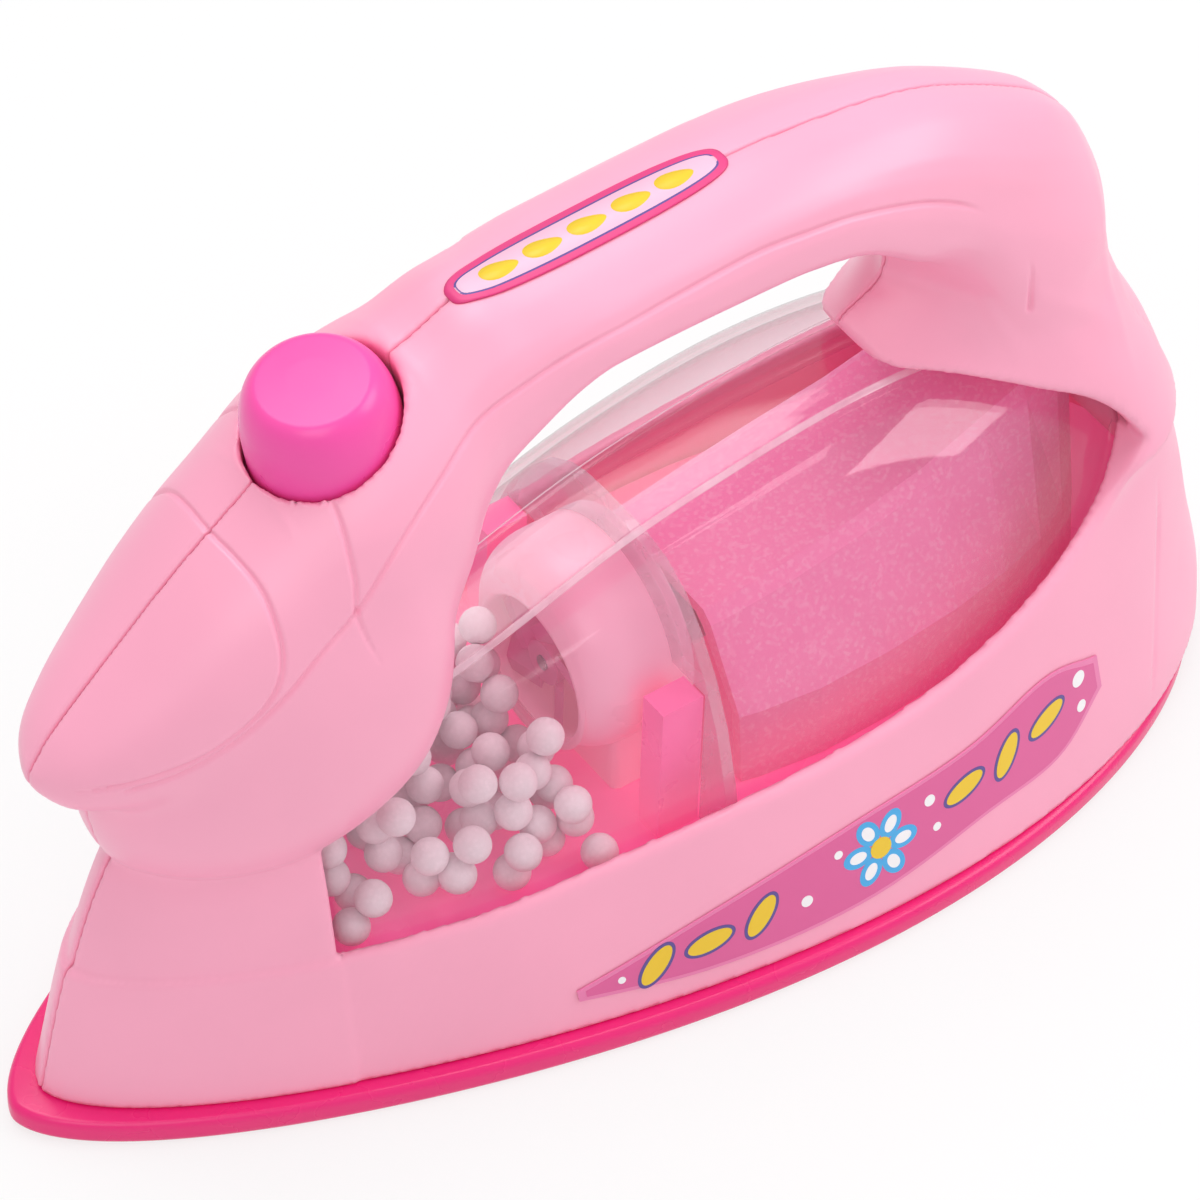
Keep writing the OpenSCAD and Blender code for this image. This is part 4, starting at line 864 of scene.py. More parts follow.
SHORT_LINE = [(40.0, 8.2, 90.3), (39.7, 11.0, 88.1), (39.4, 13.1, 85.3), (39.2, 14.6, 82.2), (38.7, 15.6, 78.8),
              (39.1, 16.7, 75.5), (40.0, 18.2, 72.1)]
REAR_LINE = [(151, 27, 6.5), (152.5, 25.2, 14), (154, 22.6, 22), (155.3, 19.8, 29.5), (155.8, 18.3, 34.3)]


def housing_lines():
    """Moulded lines as (places, depth, width, shares of the length that fade out at each end)."""
    depth = bpy.context.scene.toy_iron_shell.line_depth / MM
    return [(CAP_LINE, depth, 0.34, (0, 0.1)), (SIDE_LINE, depth, 0.34, (0.03, 0.02)),
            (SHORT_LINE, depth * 0.85, 0.32, (0, 0.35)), (REAR_LINE, depth * 0.7, 0.6, (0.2, 0.25))]


# The cover's raised band: half width and share of the band's height, from its foot to the middle
BAND_FOOT = 8.6
BAND = ((BAND_FOOT, 0), (7.4, 0), (6.8, 0), (6.55, 0), (6.35, 0.28), (6.15, 0.96), (5.9, 1.12), (5.5, 1), (4.2, 1),
        (2.8, 1), (1.4, 1), (0, 1))
BAND_EDGE = {29, 30, 31}  # the profile's steps that catch the light; their faces get the hazier edge clear, a painted highlight


def cover_profile(x, inset, low):
    """Half section of the clear cover at x, from its hidden edge to its crest, with the raised band."""
    wall_rows, arch_rows, tried, clear_of_band = 8, 18, 25, 0.6
    top = crest_z(x) - inset
    shoulder = float(shoulder_z(x, top))
    wall = [(float(body_w(x, z, inset)), float(z)) for z in np.linspace(low, shoulder, wall_rows, endpoint=False)]

    def crown(y):
        """Height of the plain arch over a half width, found in a few steps."""
        z = shoulder
        for _ in range(6):
            w = float(wall_w(x, z, inset))
            z = shoulder + (top - shoulder) * max(0.0, 1 - min(1.0, y / w) ** CROWN_ROUND) ** (1 / CROWN_RISE)
        return z

    arch = []
    for phi in np.linspace(0, math.pi / 2, tried + 1)[:-1]:
        z = shoulder + (top - shoulder) * math.sin(phi) ** (2 / CROWN_RISE)
        y = float(wall_w(x, z, inset)) * math.cos(phi) ** (2 / CROWN_ROUND)
        if y > BAND_FOOT + clear_of_band:
            arch.append((y, z))
    arch, even = np.array(arch), np.linspace(0, len(arch) - 1, arch_rows)
    arch = zip(*(np.interp(even, np.arange(len(arch)), arch[:, c]).tolist() for c in (0, 1)))
    band = bpy.context.scene.toy_iron_clear.band_height / MM
    return wall + list(arch) + [(y, crown(y) + raised * band) for y, raised in BAND]


def clear_cover_piece(paint, highlight_paint):
    """The arched clear cover with its raised crest band, whose edges and rims catch the light; the band's edge steps
    carry a painted highlight, a much hazier clear.
    """
    inset, thick, hidden = WALL + 1, 1.4, 3
    stations = np.linspace(SILL_FRONT + 0.15, COVER_END, 70)
    rows = []
    for skin_in in (0, thick):
        for j, x in enumerate(stations):
            x = x + (0 if j else skin_in)
            half = cover_profile(x, inset + skin_in, float(sill_z(x)) - hidden)
            rows.append([(x, -y, z) for y, z in half] + [(x, y, z) for y, z in half[-2::-1]])
    points, rings = rings_of(rows)
    out, inn = rings[:len(stations)], rings[len(stations):]
    faces, bright = [], set()
    n = len(out[0])
    edge = BAND_EDGE | {n - 2 - k for k in BAND_EDGE}
    for grid, inner in ((out, False), (inn, True)):
        for k, f in enumerate(lofted(grid, closed=False)):
            # Faces on the band's edge steps take the second material, a painted highlight line
            if not inner and k % (n - 1) in edge:
                bright.add(len(faces))
            faces.append(f[::-1] if inner else f)
        front = grid[0]
        for k in range(n // 2):
            f = tuple(dict.fromkeys((front[k], front[n - 1 - k], front[n - 2 - k], front[k + 1])))
            faces.append(f if inner else f[::-1])
    for a in range(len(stations) - 1):
        faces.append((out[a][0], out[a + 1][0], inn[a + 1][0], inn[a][0]))
        faces.append((out[a + 1][-1], out[a][-1], inn[a][-1], inn[a + 1][-1]))
    faces.append((out[0][0], inn[0][0], inn[0][-1], out[0][-1]))
    faces += quads_between(out[-1], inn[-1], closed=False)
    picks = [int(i in bright) for i in range(len(faces))]
    piece = made("clear_dome", row(points), faces, [paint, highlight_paint], picks=picks)
    tidy_normals(piece)
    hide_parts("clear_cover")


# Battery recess and screws of the sole, in millimetres
WELL_LENGTH, WELL_WIDTH = 56.6, 29.0
DOOR_LAP, DOOR_GAP, DOOR_THICK, DOOR_TAB = 2.0, 0.3, 1.6, 4.2
SOLE_END = LENGTH - 2  # the sole stops just ahead of the wall's heel
# Places of the sole's screws, as shares of its length and width
SOLE_SCREWS = [(0.155, 0), (0.48, 0.335), (0.48, -0.335), (0.925, 0.165), (0.925, -0.165)]


def sole_piece(paint):
    """The sole plate with a rounded rim, its battery recess and screw holes."""
    rim = bpy.context.scene.toy_iron_shell.sole_rim / MM
    levels = [(rim * (1 - math.sin(a)), rim * (1 - math.cos(a))) for a in np.linspace(0, math.pi / 2, 8)]
    levels += [(d, SOLE_THICK - z) for d, z in reversed(levels)]
    stations = (1 - np.cos(np.linspace(0, math.pi, 97))) / 2
    rows = []
    for inset, z in levels:
        x0, x1 = inset, SOLE_END - inset
        side = list(zip(x0 + (x1 - x0) * stations, (SOLE_WIDTH / 2 - inset) * bow(stations)))
        rows.append([(x, -y, z) for x, y in side] + [(x, y, z) for x, y in side[-2:0:-1]])
    points, rings = rings_of(rows)
    faces = lofted(rings) + across(rings[0], flip=True) + across(rings[-1])
    piece = made("sole_shoe", row(points), faces, [paint])
    tidy_normals(piece)
    (door_start, _, _), (door_end, _, _) = packed_box("battery_door")
    well_x, screw_x = door_start + DOOR_LAP, door_end - DOOR_TAB
    half, x0 = WELL_WIDTH / 2 + DOOR_LAP + DOOR_GAP, well_x - DOOR_LAP - DOOR_GAP
    x1 = well_x + WELL_LENGTH + DOOR_LAP + DOOR_GAP
    tab = DOOR_TAB + DOOR_GAP
    reach = math.acos((x1 - screw_x) / tab)
    outline = [(x0, -half), (x1, -half)]
    outline += [(screw_x + tab * math.cos(a), tab * math.sin(a)) for a in np.linspace(-reach, reach, 33)]
    outline += [(x1, half), (x0, half)]
    well = [(well_x, -WELL_WIDTH / 2), (well_x + WELL_LENGTH, -WELL_WIDTH / 2),
            (well_x + WELL_LENGTH, WELL_WIDTH / 2), (well_x, WELL_WIDTH / 2)]
    forms = [prism(outline, -1, DOOR_THICK + 0.15), prism(well, 1, SOLE_THICK + 1)]
    for share, side in SOLE_SCREWS:
        at, loops = turned([(0, -1), (HEAD_RADIUS, -1), (HEAD_RADIUS, 2), (PILOT_RADIUS, 2),
                            (PILOT_RADIUS, SOLE_THICK + 1), (0, SOLE_THICK + 1)], 40)
        forms.append((at + np.array([share * LENGTH, side * SOLE_WIDTH, 0]), loops))
    cut_out(piece, forms)
    piece.data.set_sharp_from_angle(angle=math.radians(38))
    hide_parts("sole_plate")


def bead_places():
    """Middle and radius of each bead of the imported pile."""
    work = bmesh.new()
    work.from_mesh(packed("foam_beads").data)
    bmesh.ops.remove_doubles(work, verts=work.verts, dist=1e-6)
    beads, seen = [], set()
    for v in work.verts:
        if v.index in seen:
            continue
        heap, group = [v], []
        seen.add(v.index)
        while heap:
            u = heap.pop()
            group.append(u.co.copy())
            for e in u.link_edges:
                w = e.other_vert(u)
                if w.index not in seen:
                    seen.add(w.index)
                    heap.append(w)
        low, high = (Vector([end(c[k] for c in group) for k in range(3)]) for end in (min, max))
        beads.append(((low + high) / 2, (high - low)[0] / 2))
    work.free()
    return beads


def bead_pieces(paint):
    """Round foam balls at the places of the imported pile, none quite the same."""
    ball = bmesh.new()
    bmesh.ops.create_icosphere(ball, subdivisions=4, radius=1)
    unit = np.array([v.co[:] for v in ball.verts])
    tris = np.array([[v.index for v in f.verts] for f in ball.faces])
    ball.free()
    draw = np.random.default_rng(5)
    lumps = bpy.context.scene.toy_iron_inner.bead_lumps
    points, faces = [], []
    for n, (centre, radius) in enumerate(bead_places()):
        lean, _ = np.linalg.qr(draw.normal(size=(3, 3)))
        lump = 1 - lumps * draw.random(3)
        dents = 1 - 0.012 * np.sin(unit @ draw.normal(size=3) * 3 + draw.random() * 6) ** 2
        points.append((unit * dents[:, None] * lump) @ lean * radius + np.array(centre[:]))
        faces.append(tris + n * len(unit))
    piece = made("foam_balls", np.concatenate(points), np.concatenate(faces), [paint])
    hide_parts("foam_beads")


def button_piece(paint):
    """The push button: a soft-edged flat top over a straight skirt, with its flange and stem."""
    r, flat = BUTTON_RADIUS, BUTTON_RADIUS * 0.66
    skirt, flange, flange_top, flange_foot = r - 1.6, r + 1.2, -15.35, -16.85
    boss, boss_foot, stem, stem_foot = 6, -11, 2.4, -14
    profile = [(0, 0.0), (flat * 0.5, -0.05), (flat - 0.4, -0.2)]
    profile += [(flat + (r - flat) * math.sin(a), -8 + 7.8 * math.cos(a)) for a in np.linspace(0.12, math.pi / 2, 12)]
    profile += [(r, -12), (r, flange_top, 0.1), (flange, flange_top, 0.2), (flange, flange_foot, 0.2),
                (skirt, flange_foot, 0.2), (skirt, -8, 0.5), (boss, -3.2, 0.3), (boss, boss_foot, 0.1),
                (stem, boss_foot, 0.1), (stem, stem_foot, 0.3), (0, stem_foot)]
    points, faces = turned(eased(profile, 0.25), 96)
    piece = made("button_cap", row(on_button_axis(points)), faces, [paint], "button")
    tidy_normals(piece)
    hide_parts("push_button")


def spring_piece(paint):
    """The button's return spring, a coil of wire about the button's axis."""
    wire, radius, turns, foot, head = 0.4, 5.05, 6, -21.24, -11.01
    around, per_turn = 10, 28
    rows = []
    for share in np.linspace(0, 1, per_turn * turns + 1):
        turn, along = 2 * math.pi * turns * share, foot + wire + (head - foot - 2 * wire) * share
        coil = [(radius + wire * math.cos(b), along + wire * math.sin(b))
                for b in np.linspace(0, 2 * math.pi, around, endpoint=False)]
        rows.append([(out * math.cos(turn), out * math.sin(turn), z) for out, z in coil])
    points, rings = rings_of(rows)
    faces = lofted(rings) + [rings[0], rings[-1]]
    piece = made("return_spring", row(on_button_axis(points)), faces, [paint], None)
    tidy_normals(piece)
    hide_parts("button_spring")
    start, end = row(on_button_axis([(0, 0, foot + 2 * wire), (0, 0, head - 2 * wire)]))
    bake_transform(piece)


def pod_piece(paint):
    """The rounded blower pod with its round mouth below its middle, its motor socket and its foot."""
    (front, _, _), (socket_end, r, top) = packed_box("blower_pod")
    (_, _, fan_low), (_, _, fan_high) = packed_box("fan")
    back, wall, mouth = front + 14, 1.6, 9.61
    mid, low = top - r, (fan_low + fan_high) / 2
    web, web_back, hole, socket_in, socket_out = front + 8.5, front + 10, 1.6, 6.15, 7.75
    rings = [(back, r - wall, mid), (back, r, mid)]
    rings += [(front + 6.2 * (1 - math.sin(a)), r - 4.4 * (1 - math.cos(a)), mid) for a in np.linspace(0, 1.25, 12)]
    rings += [(front + 0.22, mouth + 1.45, low + 0.45), (front + 0.05, mouth + 1.1, low + 0.15)]
    rings += [(x, radius, low) for x, radius in (
        (front, mouth + 0.75), (front + 0.08, mouth + 0.3), (front + 0.4, mouth), (front + 4, mouth), (web, mouth),
        (web, hole), (web_back, hole), (web_back, socket_in), (socket_end, socket_in), (socket_end, socket_out),
        (web_back, socket_out))]
    rings.append((web_back, r - wall, mid))
    steps = 96
    turns = [2 * math.pi * k / steps for k in range(steps)]
    points, loops = rings_of([[(x, radius * math.cos(a), centre + radius * math.sin(a)) for a in turns]
                              for x, radius, centre in rings])
    faces = lofted(loops + loops[:1])
    piece = made("pod_shell", row(points), faces, [paint])
    tidy_normals(piece)
    piece.data.set_sharp_from_angle(angle=math.radians(50))
    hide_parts("blower_pod")
    half, base = 11.0, FLOOR_Z + 0.15
    rows = []
    for x, draw in ((front + 5, 0.9), (front + 5.25, 0.35), (front + 5.9, 0), (back - 0.3, 0), (back, 0.3)):
        ys = np.linspace(-half + draw, half - draw, 25)
        rows.append([(x, y, mid - math.sqrt((r - 0.8) ** 2 - y * y)) for y in ys] + [(x, y, base) for y in ys[::-1]])
    points, loops = rings_of(rows)
    faces = lofted(loops) + across(loops[0], -1) + across(loops[-1], -1)
    foot = made("pod_foot", row(points), faces, [paint])
    tidy_normals(foot)
    foot.data.set_sharp_from_angle(angle=math.radians(50))


def label_piece(paints):
    """The lozenge label on the handle's ridge: a hot border, a pale field and a plain leaf motif."""
    middle_x, half, wide, steps = 80.6, 19.0, 3.4, 72
    crest = [[along * LENGTH, top * HEIGHT] for along, top, _, _ in HANDLE]

    def lozenge(grow):
        """Outline of the label, grown or shrunk."""
        turns = [(math.cos(2 * math.pi * k / steps), math.sin(2 * math.pi * k / steps)) for k in range(steps)]
        return [(middle_x + (half + grow) * math.copysign(abs(c) ** 0.75, c),
                 (wide + grow) * math.copysign(abs(s) ** 0.6, s)) for c, s in turns]

    def layer(name, outline, low, high, paint):
        """A thin plate that follows the ridge, from its outline and two heights over the ridge."""
        mid_x, mid_y = (sum(p[c] for p in outline) / len(outline) for c in (0, 1))
        rows = []
        for z, ease in ((low, 1), (high - 0.08, 1), (high, 0.97)):
            plan = [(mid_x + (x - mid_x) * ease, mid_y + (y - mid_y) * ease) for x, y in outline]
            rows.append([(x, y, float(curve(crest, x)) + z) for x, y in plan])
        points, rings = rings_of(rows)
        faces = lofted(rings) + across(rings[0], flip=True) + across(rings[-1])
        piece = made(name, row(points), faces, [paint])
        tidy_normals(piece)
        return piece

    border = layer("label_border", lozenge(0), 0.02, 0.32, paints["label_border"])
    layer("label_line", lozenge(-0.85), 0.2, 0.36, paints["label_line"])
    layer("label_field", lozenge(-1.12), 0.2, 0.4, paints["label_field"])
    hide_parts("handle_label")
    for k, x in enumerate((68.5, 74.5, middle_x, 86.7, 92.7)):
        leaf = [(x + 2.5 * math.cos(a) - 0.4 * math.sin(a), 1.25 * math.sin(a) * (1 - 0.3 * math.cos(a)))
                for a in np.linspace(0, 2 * math.pi, 24, endpoint=False)]
        layer(f"label_leaf_{k + 1}", leaf, 0.3, 0.44, paints["label_leaf"])


def wall_print(name, outline, depth, paint, side):
    """A printed patch that lies on the lower wall of one side, from its outline of x and z."""
    n, spacing, margin, below, reach = len(outline), 1.5, 0.7, -0.15, 0.2
    xs, zs = zip(*outline)
    inner = [(x, z) for x in np.arange(min(xs) + margin, max(xs), spacing)
             for z in np.arange(min(zs) + margin, max(zs), spacing)]
    verts = [Vector(p) for p in list(outline) + inner]
    flat, _, tris, _, _, _ = delaunay_2d_cdt(verts, [(i, (i + 1) % n) for i in range(n)], [list(range(n))], 1, 1e-5)
    points = []
    for d in (below, depth):
        for x, z in flat:
            w = float(wall_w(x, z))
            slope = float(wall_w(x + reach, z) - wall_w(x - reach, z)) / (2 * reach)
            run = math.hypot(1, slope)
            points.append((x - slope / run * d, side * (w + d / run), z))
    m = len(flat)
    edges = dict.fromkeys((a, b) for t in tris for a, b in zip(t, t[1:] + t[:1]))
    faces = [tuple(t) for t in tris] + [tuple(i + m for i in t[::-1]) for t in tris]
    faces += [(b, a, a + m, b + m) for a, b in edges if (b, a) not in edges]
    piece = made(name, row(points), faces, [paint], smooth=False)
    tidy_normals(piece)


def ribbon(path, widths):
    """Outline of a ribbon along a path of x and z, with a width at each place."""
    t = np.linspace(0, 1, 40)
    own = np.linspace(0, 1, len(path))
    rows = [[o, p[0], p[1], w] for o, p, w in zip(own, path, widths)]
    x, z, w = (curve(rows, t, c) for c in (1, 2, 3))
    dx, dz = np.gradient(x), np.gradient(z)
    size = np.hypot(dx, dz)
    nx, nz = -dz / size, dx / size
    up = list(zip(x + nx * w / 2, z + nz * w / 2))
    down = list(zip(x - nx * w / 2, z - nz * w / 2))
    return [(float(a), float(b)) for a, b in up + down[::-1]]


def round_patch(x, z, rx, rz, turn=0.0, steps=40):
    """Outline of an oval that is turned about its middle."""
    c, s = math.cos(turn), math.sin(turn)
    return [(x + rx * math.cos(a) * c - rz * math.sin(a) * s, z + rx * math.cos(a) * s + rz * math.sin(a) * c)
            for a in np.linspace(0, 2 * math.pi, steps, endpoint=False)]


def side_prints(paints):
    """Leaves, a flower and dots on a ribbon along each lower wall."""
    path = [(62, 9), (80, 11), (100, 13.6), (118, 16.2), (131, 18), (140, 19)]
    flower_x, flower_z, petal_at = 103, 14.4, 3.3
    leaves = ((72, 10.2, 0.9), (79, 11, 0.2), (86, 12, 0.95), (116, 16.6, 0.3), (123, 17.4, 1.05), (130, 18.6, 0.35))
    dots = ((67.5, 9.6, 0.5), (92.2, 11.4, 0.8), (110.6, 17.6, 0.8), (136, 20.6, 1.1), (136.2, 16.4, 0.8),
            (97, 16.2, 0.6), (111.4, 13.2, 0.6))
    for word, side in (("near", -1), ("far", 1)):
        def patch(name, outline, depth, kind):
            wall_print(f"{word}_{name}", outline, depth, paints[kind], side)

        patch("ribbon_edge", ribbon(path, [1.6, 8.6, 12.4, 11.4, 13, 5]), 0.03, "print_edge")
        inner = [(63, 9.1)] + path[1:5] + [(139.2, 18.9)]
        patch("ribbon", ribbon(inner, [0.9, 7.6, 11.4, 10.4, 12, 4]), 0.06, "print_pink")
        for k in range(6):
            a = 2 * math.pi * k / 6
            x, z = flower_x + petal_at * math.cos(a), flower_z + petal_at * math.sin(a)
            patch(f"petal_{k + 1}", round_patch(x, z, 2.1, 1.5, a), 0.09, "print_blue")
            patch(f"petal_heart_{k + 1}", round_patch(x, z, 1.2, 0.8, a), 0.12, "print_white")
        patch("flower_heart", round_patch(flower_x, flower_z, 1.5, 1.5), 0.14, "print_yellow")
        for k, (x, z, turn) in enumerate(leaves):
            patch(f"leaf_edge_{k + 1}", round_patch(x, z, 3.5, 1.75, turn), 0.09, "print_purple")
            patch(f"leaf_{k + 1}", round_patch(x, z, 3.0, 1.3, turn), 0.12, "print_yellow")
        for k, (x, z, r) in enumerate(dots):
            patch(f"dot_{k + 1}", round_patch(x, z, r, r, steps=24), 0.1, "print_white")


CAD_FINISH = {"base_tray": "tray", "arch_bulkhead": "clear_arch", "fan": "fan", "motor": "steel",
              "motor_shaft": "steel", "rear_liner": "liner", "battery_left": "cell", "battery_right": "cell",
              "battery_springs": "steel", "contact_plates": "steel", "battery_door": "sole",
              "door_screw": "steel", "switch": "dark", "switch_board": "board",
              "housing_screws": "steel", "sole_screws": "steel"}


def finish_cad(paints):
    """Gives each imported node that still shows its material."""
    for name, kind in CAD_FINISH.items():
        for slot in packed(name).material_slots:
            slot.material = paints[kind]


def make_paints():
    """Every material of the object, by its plain name, in the colours that are set."""
    scene = bpy.context.scene
    shell, clear, inner = scene.toy_iron_shell, scene.toy_iron_clear, scene.toy_iron_inner
    prints = scene.toy_iron_prints

    def own(colour):
        return tuple(float(c) for c in colour)

    return {
        "housing": moulded("housing_pink", own(shell.housing_colour)),
        "sole": moulded("sole_pink", own(shell.sole_colour), (0.22, 0.32)),
        "button": moulded("button_pink", own(shell.button_colour), (0.25, 0.35)),
        "clear": clear_plastic("clear_cover", (0.985, 0.95, 0.965), own(clear.haze_colour), clear.haze),
        # The edge clear is a painted highlight: a milky clear on the band's edges that shows as bright lines
        "clear_edge_highlight": clear_plastic("clear_edge_highlight", (0.96, 0.9, 0.93), own(clear.haze_colour), clear.edge_highlight_haze),
        "clear_arch": clear_plastic("clear_arch", (0.96, 0.9, 0.93), linear((255, 215, 232)), clear.arch_haze),
        "tray": moulded("tray_pink", own(inner.tray_colour), (0.25, 0.35), glow=inner.glow),
        "pod": moulded("pod_pink", own(inner.pod_colour), (0.25, 0.35), glow=inner.glow / 3),
        "fan": moulded("fan_pink", linear((225, 120, 165)), (0.4, 0.5), glow=inner.glow / 3),
        "liner": frosted("liner_glitter", own(inner.liner_colour), glow=inner.glow / 3),
        "foam": foam("bead_foam", own(inner.bead_colour)),
        "cell": moulded("cell_sleeve", linear((60, 90, 160))),
        "dark": moulded("switch_dark", linear((40, 40, 42)), (0.5, 0.6)),
        "board": moulded("board_green", linear((50, 110, 70)), (0.5, 0.6)),
        "steel": metal("plated_steel", linear((190, 192, 196))),
        "label_border": moulded("label_hot_pink", own(prints.border_colour), (0.35, 0.45)),
        "label_line": moulded("label_purple", own(prints.line_colour), (0.35, 0.45)),
        "label_field": moulded("label_pale", linear((250, 190, 215)), (0.35, 0.45)),
        "label_leaf": moulded("label_yellow", own(prints.motif_colour), (0.35, 0.45)),
        "print_edge": moulded("print_edge", linear((238, 128, 178))),
        "print_pink": moulded("print_pink", own(prints.ribbon_colour)),
        "print_white": moulded("print_white", linear((250, 248, 250))),
        "print_blue": moulded("print_blue", own(prints.petal_colour)),
        "print_purple": moulded("print_purple", own(prints.line_colour)),
        "print_yellow": moulded("print_yellow", own(prints.motif_colour)),
    }


def ray_share(tree):
    """1 for rays that come from the camera, a gloss or a clear piece, otherwise 0."""
    path = laid(tree, "LightPath").outputs
    out = path["Is Camera Ray"]
    for ray in ("Is Glossy Ray", "Is Transmission Ray"):
        out = laid(tree, "Math", {0: out, 1: path[ray]}, operation="MAXIMUM").outputs[0]
    return out


def set_floor(glow):
    """A white floor that looks a little brighter than it lights the piece."""
    half = 3
    mesh = bpy.data.meshes.new("floor")
    mesh.from_pydata([(-half, -half, 0), (half, -half, 0), (half, half, 0), (-half, half, 0)], [], [(0, 1, 2, 3)])
    floor = bpy.data.objects.new("floor", mesh)
    bpy.context.scene.collection.objects.link(floor)
    paper = Shader("floor_white", (0.85, 0.85, 0.85), 0.9)
    share = paper.lay("Math", {0: ray_share(paper.tree), 1: glow}, operation="MULTIPLY")[0]
    light = paper.lay("Emission")[0]
    paper.surface(paper.lay("MixShader", {0: share, 1: paper.main.outputs[0], 2: light})[0])
    mesh.materials.append(paper.material)


def set_world(level):
    """A world that lights the scene at one level and shows white."""
    world = bpy.data.worlds.new("studio")
    bpy.context.scene.world = world
    world.use_nodes = True
    tree = world.node_tree
    base = tree.nodes["Background"]
    base.inputs["Color"].default_value = (1, 1, 1, 1)
    base.inputs["Strength"].default_value = level
    bright = laid(tree, "Background", {"Strength": 1}).outputs[0]
    blend = laid(tree, "MixShader", {0: ray_share(tree), 1: base.outputs[0], 2: bright}).outputs[0]
    tree.links.new(blend, tree.nodes["World Output"].inputs["Surface"])


def set_stage():
    """Floor, world, soft lamps and the camera."""
    scene = bpy.context.scene
    light = scene.toy_iron_stage
    scene.view_settings.view_transform = "Standard"
    set_floor(light.floor_glow)
    set_world(light.world_level)
    aim = Vector((0, 0, 0.04))
    for name, place, size, power in (("lamp_left", (-0.55, -0.5, 0.7), 0.6, light.left_power),
                                     ("lamp_right", (0.6, -0.35, 0.6), 0.5, light.right_power),
                                     ("lamp_top", (0.05, 0.25, 0.95), 0.7, light.top_power)):
        lamp = bpy.data.lights.new(name, "AREA")
        lamp.size = size
        lamp.energy = power
        item = bpy.data.objects.new(name, lamp)
        item.location = place
        item.rotation_euler = (aim - Vector(place)).to_track_quat("-Z", "Y").to_euler()
        scene.collection.objects.link(item)
    set_camera()


def set_camera():
    """The camera at the photograph's viewing angle."""
    turn, rise, roll = (math.radians(a) for a in (-37.2, 46.5, 2.1))
    middle, shift, lift, away = Vector((-4, 0, 45)), 1.3646, 2.729, 800  # in millimetres
    back = Vector((math.sin(turn) * math.cos(rise), -math.cos(turn) * math.cos(rise), math.sin(rise)))
    right = Vector((math.cos(turn), math.sin(turn), 0))
    up = back.cross(right)
    side = right * math.cos(roll) + up * math.sin(roll)
    over = up * math.cos(roll) - right * math.sin(roll)
    target = middle + side * shift - over * lift
    camera = bpy.data.cameras.new("camera")
    camera.lens = 202.26
    camera.sensor_width = 36
    camera.clip_end = 20
    item = bpy.data.objects.new("camera", camera)
    spin = Matrix((side, over, back)).transposed().to_4x4()
    item.matrix_world = Matrix.Translation((target + back * away) * MM) @ spin
    bpy.context.scene.collection.objects.link(item)
    bpy.context.scene.camera = item


# ---------------------------------------------------------------- settings, operators and panel
def colour_setting(name, words, screen):
    """A colour that is given as it looks on a screen, from 0 to 255."""
    return bpy.props.FloatVectorProperty(name=name, description=words, subtype="COLOR", size=3, min=0, max=1,
                                         default=linear(screen))


def level_setting(name, words, value, high=1.0, **more):
    """A size, share or power from 0 up."""
    return bpy.props.FloatProperty(name=name, description=words, min=0, max=high, default=value, **more)


class ToyIronShell(bpy.types.PropertyGroup):
    """Sizes and colours of the outer pieces."""

    housing_colour: colour_setting("Housing", "Colour of both housing halves", (255, 171, 199))
    sole_colour: colour_setting("Sole", "Colour of the sole plate and the battery door", (242, 30, 122))
    button_colour: colour_setting("Button", "Colour of the push button", (250, 80, 170))
    net_step: level_setting("Net step", "Width of one face of the housing's net", 0.00062, 0.003, unit="LENGTH",
                            precision=5)
    line_depth: level_setting("Line depth", "Depth of the moulded lines in the housing", 0.00042, 0.001,
                              unit="LENGTH", precision=5)
    sole_rim: level_setting("Sole rim", "Radius of the sole plate's rim", 0.0011, 0.0017, unit="LENGTH", precision=5)


class ToyIronClear(bpy.types.PropertyGroup):
    """Looks and sizes of the clear pieces."""

    haze_colour: colour_setting("Haze colour", "Colour of the haze in the clear cover", (255, 228, 240))
    haze: level_setting("Haze", "Share of haze in the clear cover", 0.015, subtype="FACTOR")
    # Edge haze paints a highlight: it turns the band's edge steps milky so that they show as bright lines
    edge_highlight_haze: level_setting("Edge haze", "Share of haze along the crest band's edges", 0.5, subtype="FACTOR")
    arch_haze: level_setting("Arch haze", "Share of haze in the arch wall", 0.3, subtype="FACTOR")
    band_height: level_setting("Band height", "Height of the raised band on the crest", 0.0005, 0.001, unit="LENGTH",
                               precision=5)


class ToyIronInner(bpy.types.PropertyGroup):
    """Colours of the pieces inside the clear cover."""

    tray_colour: colour_setting("Tray", "Colour of the tray under the beads", (244, 104, 164))
    pod_colour: colour_setting("Pod", "Colour of the round blower pod", (255, 182, 208))
    liner_colour: colour_setting("Liner", "Colour of the glittering block in the rear chamber", (242, 126, 178))
    bead_colour: colour_setting("Beads", "Colour of the foam beads", (252, 240, 244))
    bead_lumps: level_setting("Bead lumps", "How uneven each bead is, as a share of its radius", 0.02, 0.1,
                              subtype="FACTOR")
    glow: level_setting("Inner light", "Light that comes to the inner pieces through the walls", 0.3,
                        subtype="FACTOR")


class ToyIronPrints(bpy.types.PropertyGroup):
    """Colours of the label on the handle and of the prints on the walls."""

    border_colour: colour_setting("Label border", "Border of the label on the handle", (228, 60, 130))
    line_colour: colour_setting("Outlines", "Outlines on the label and the prints", (92, 74, 150))
    motif_colour: colour_setting("Leaves", "Leaves on the label and the prints", (242, 202, 38))
    ribbon_colour: colour_setting("Ribbon", "Ribbon on the lower walls", (226, 96, 156))
    petal_colour: colour_setting("Petals", "Petals of the flower on the ribbon", (70, 175, 235))


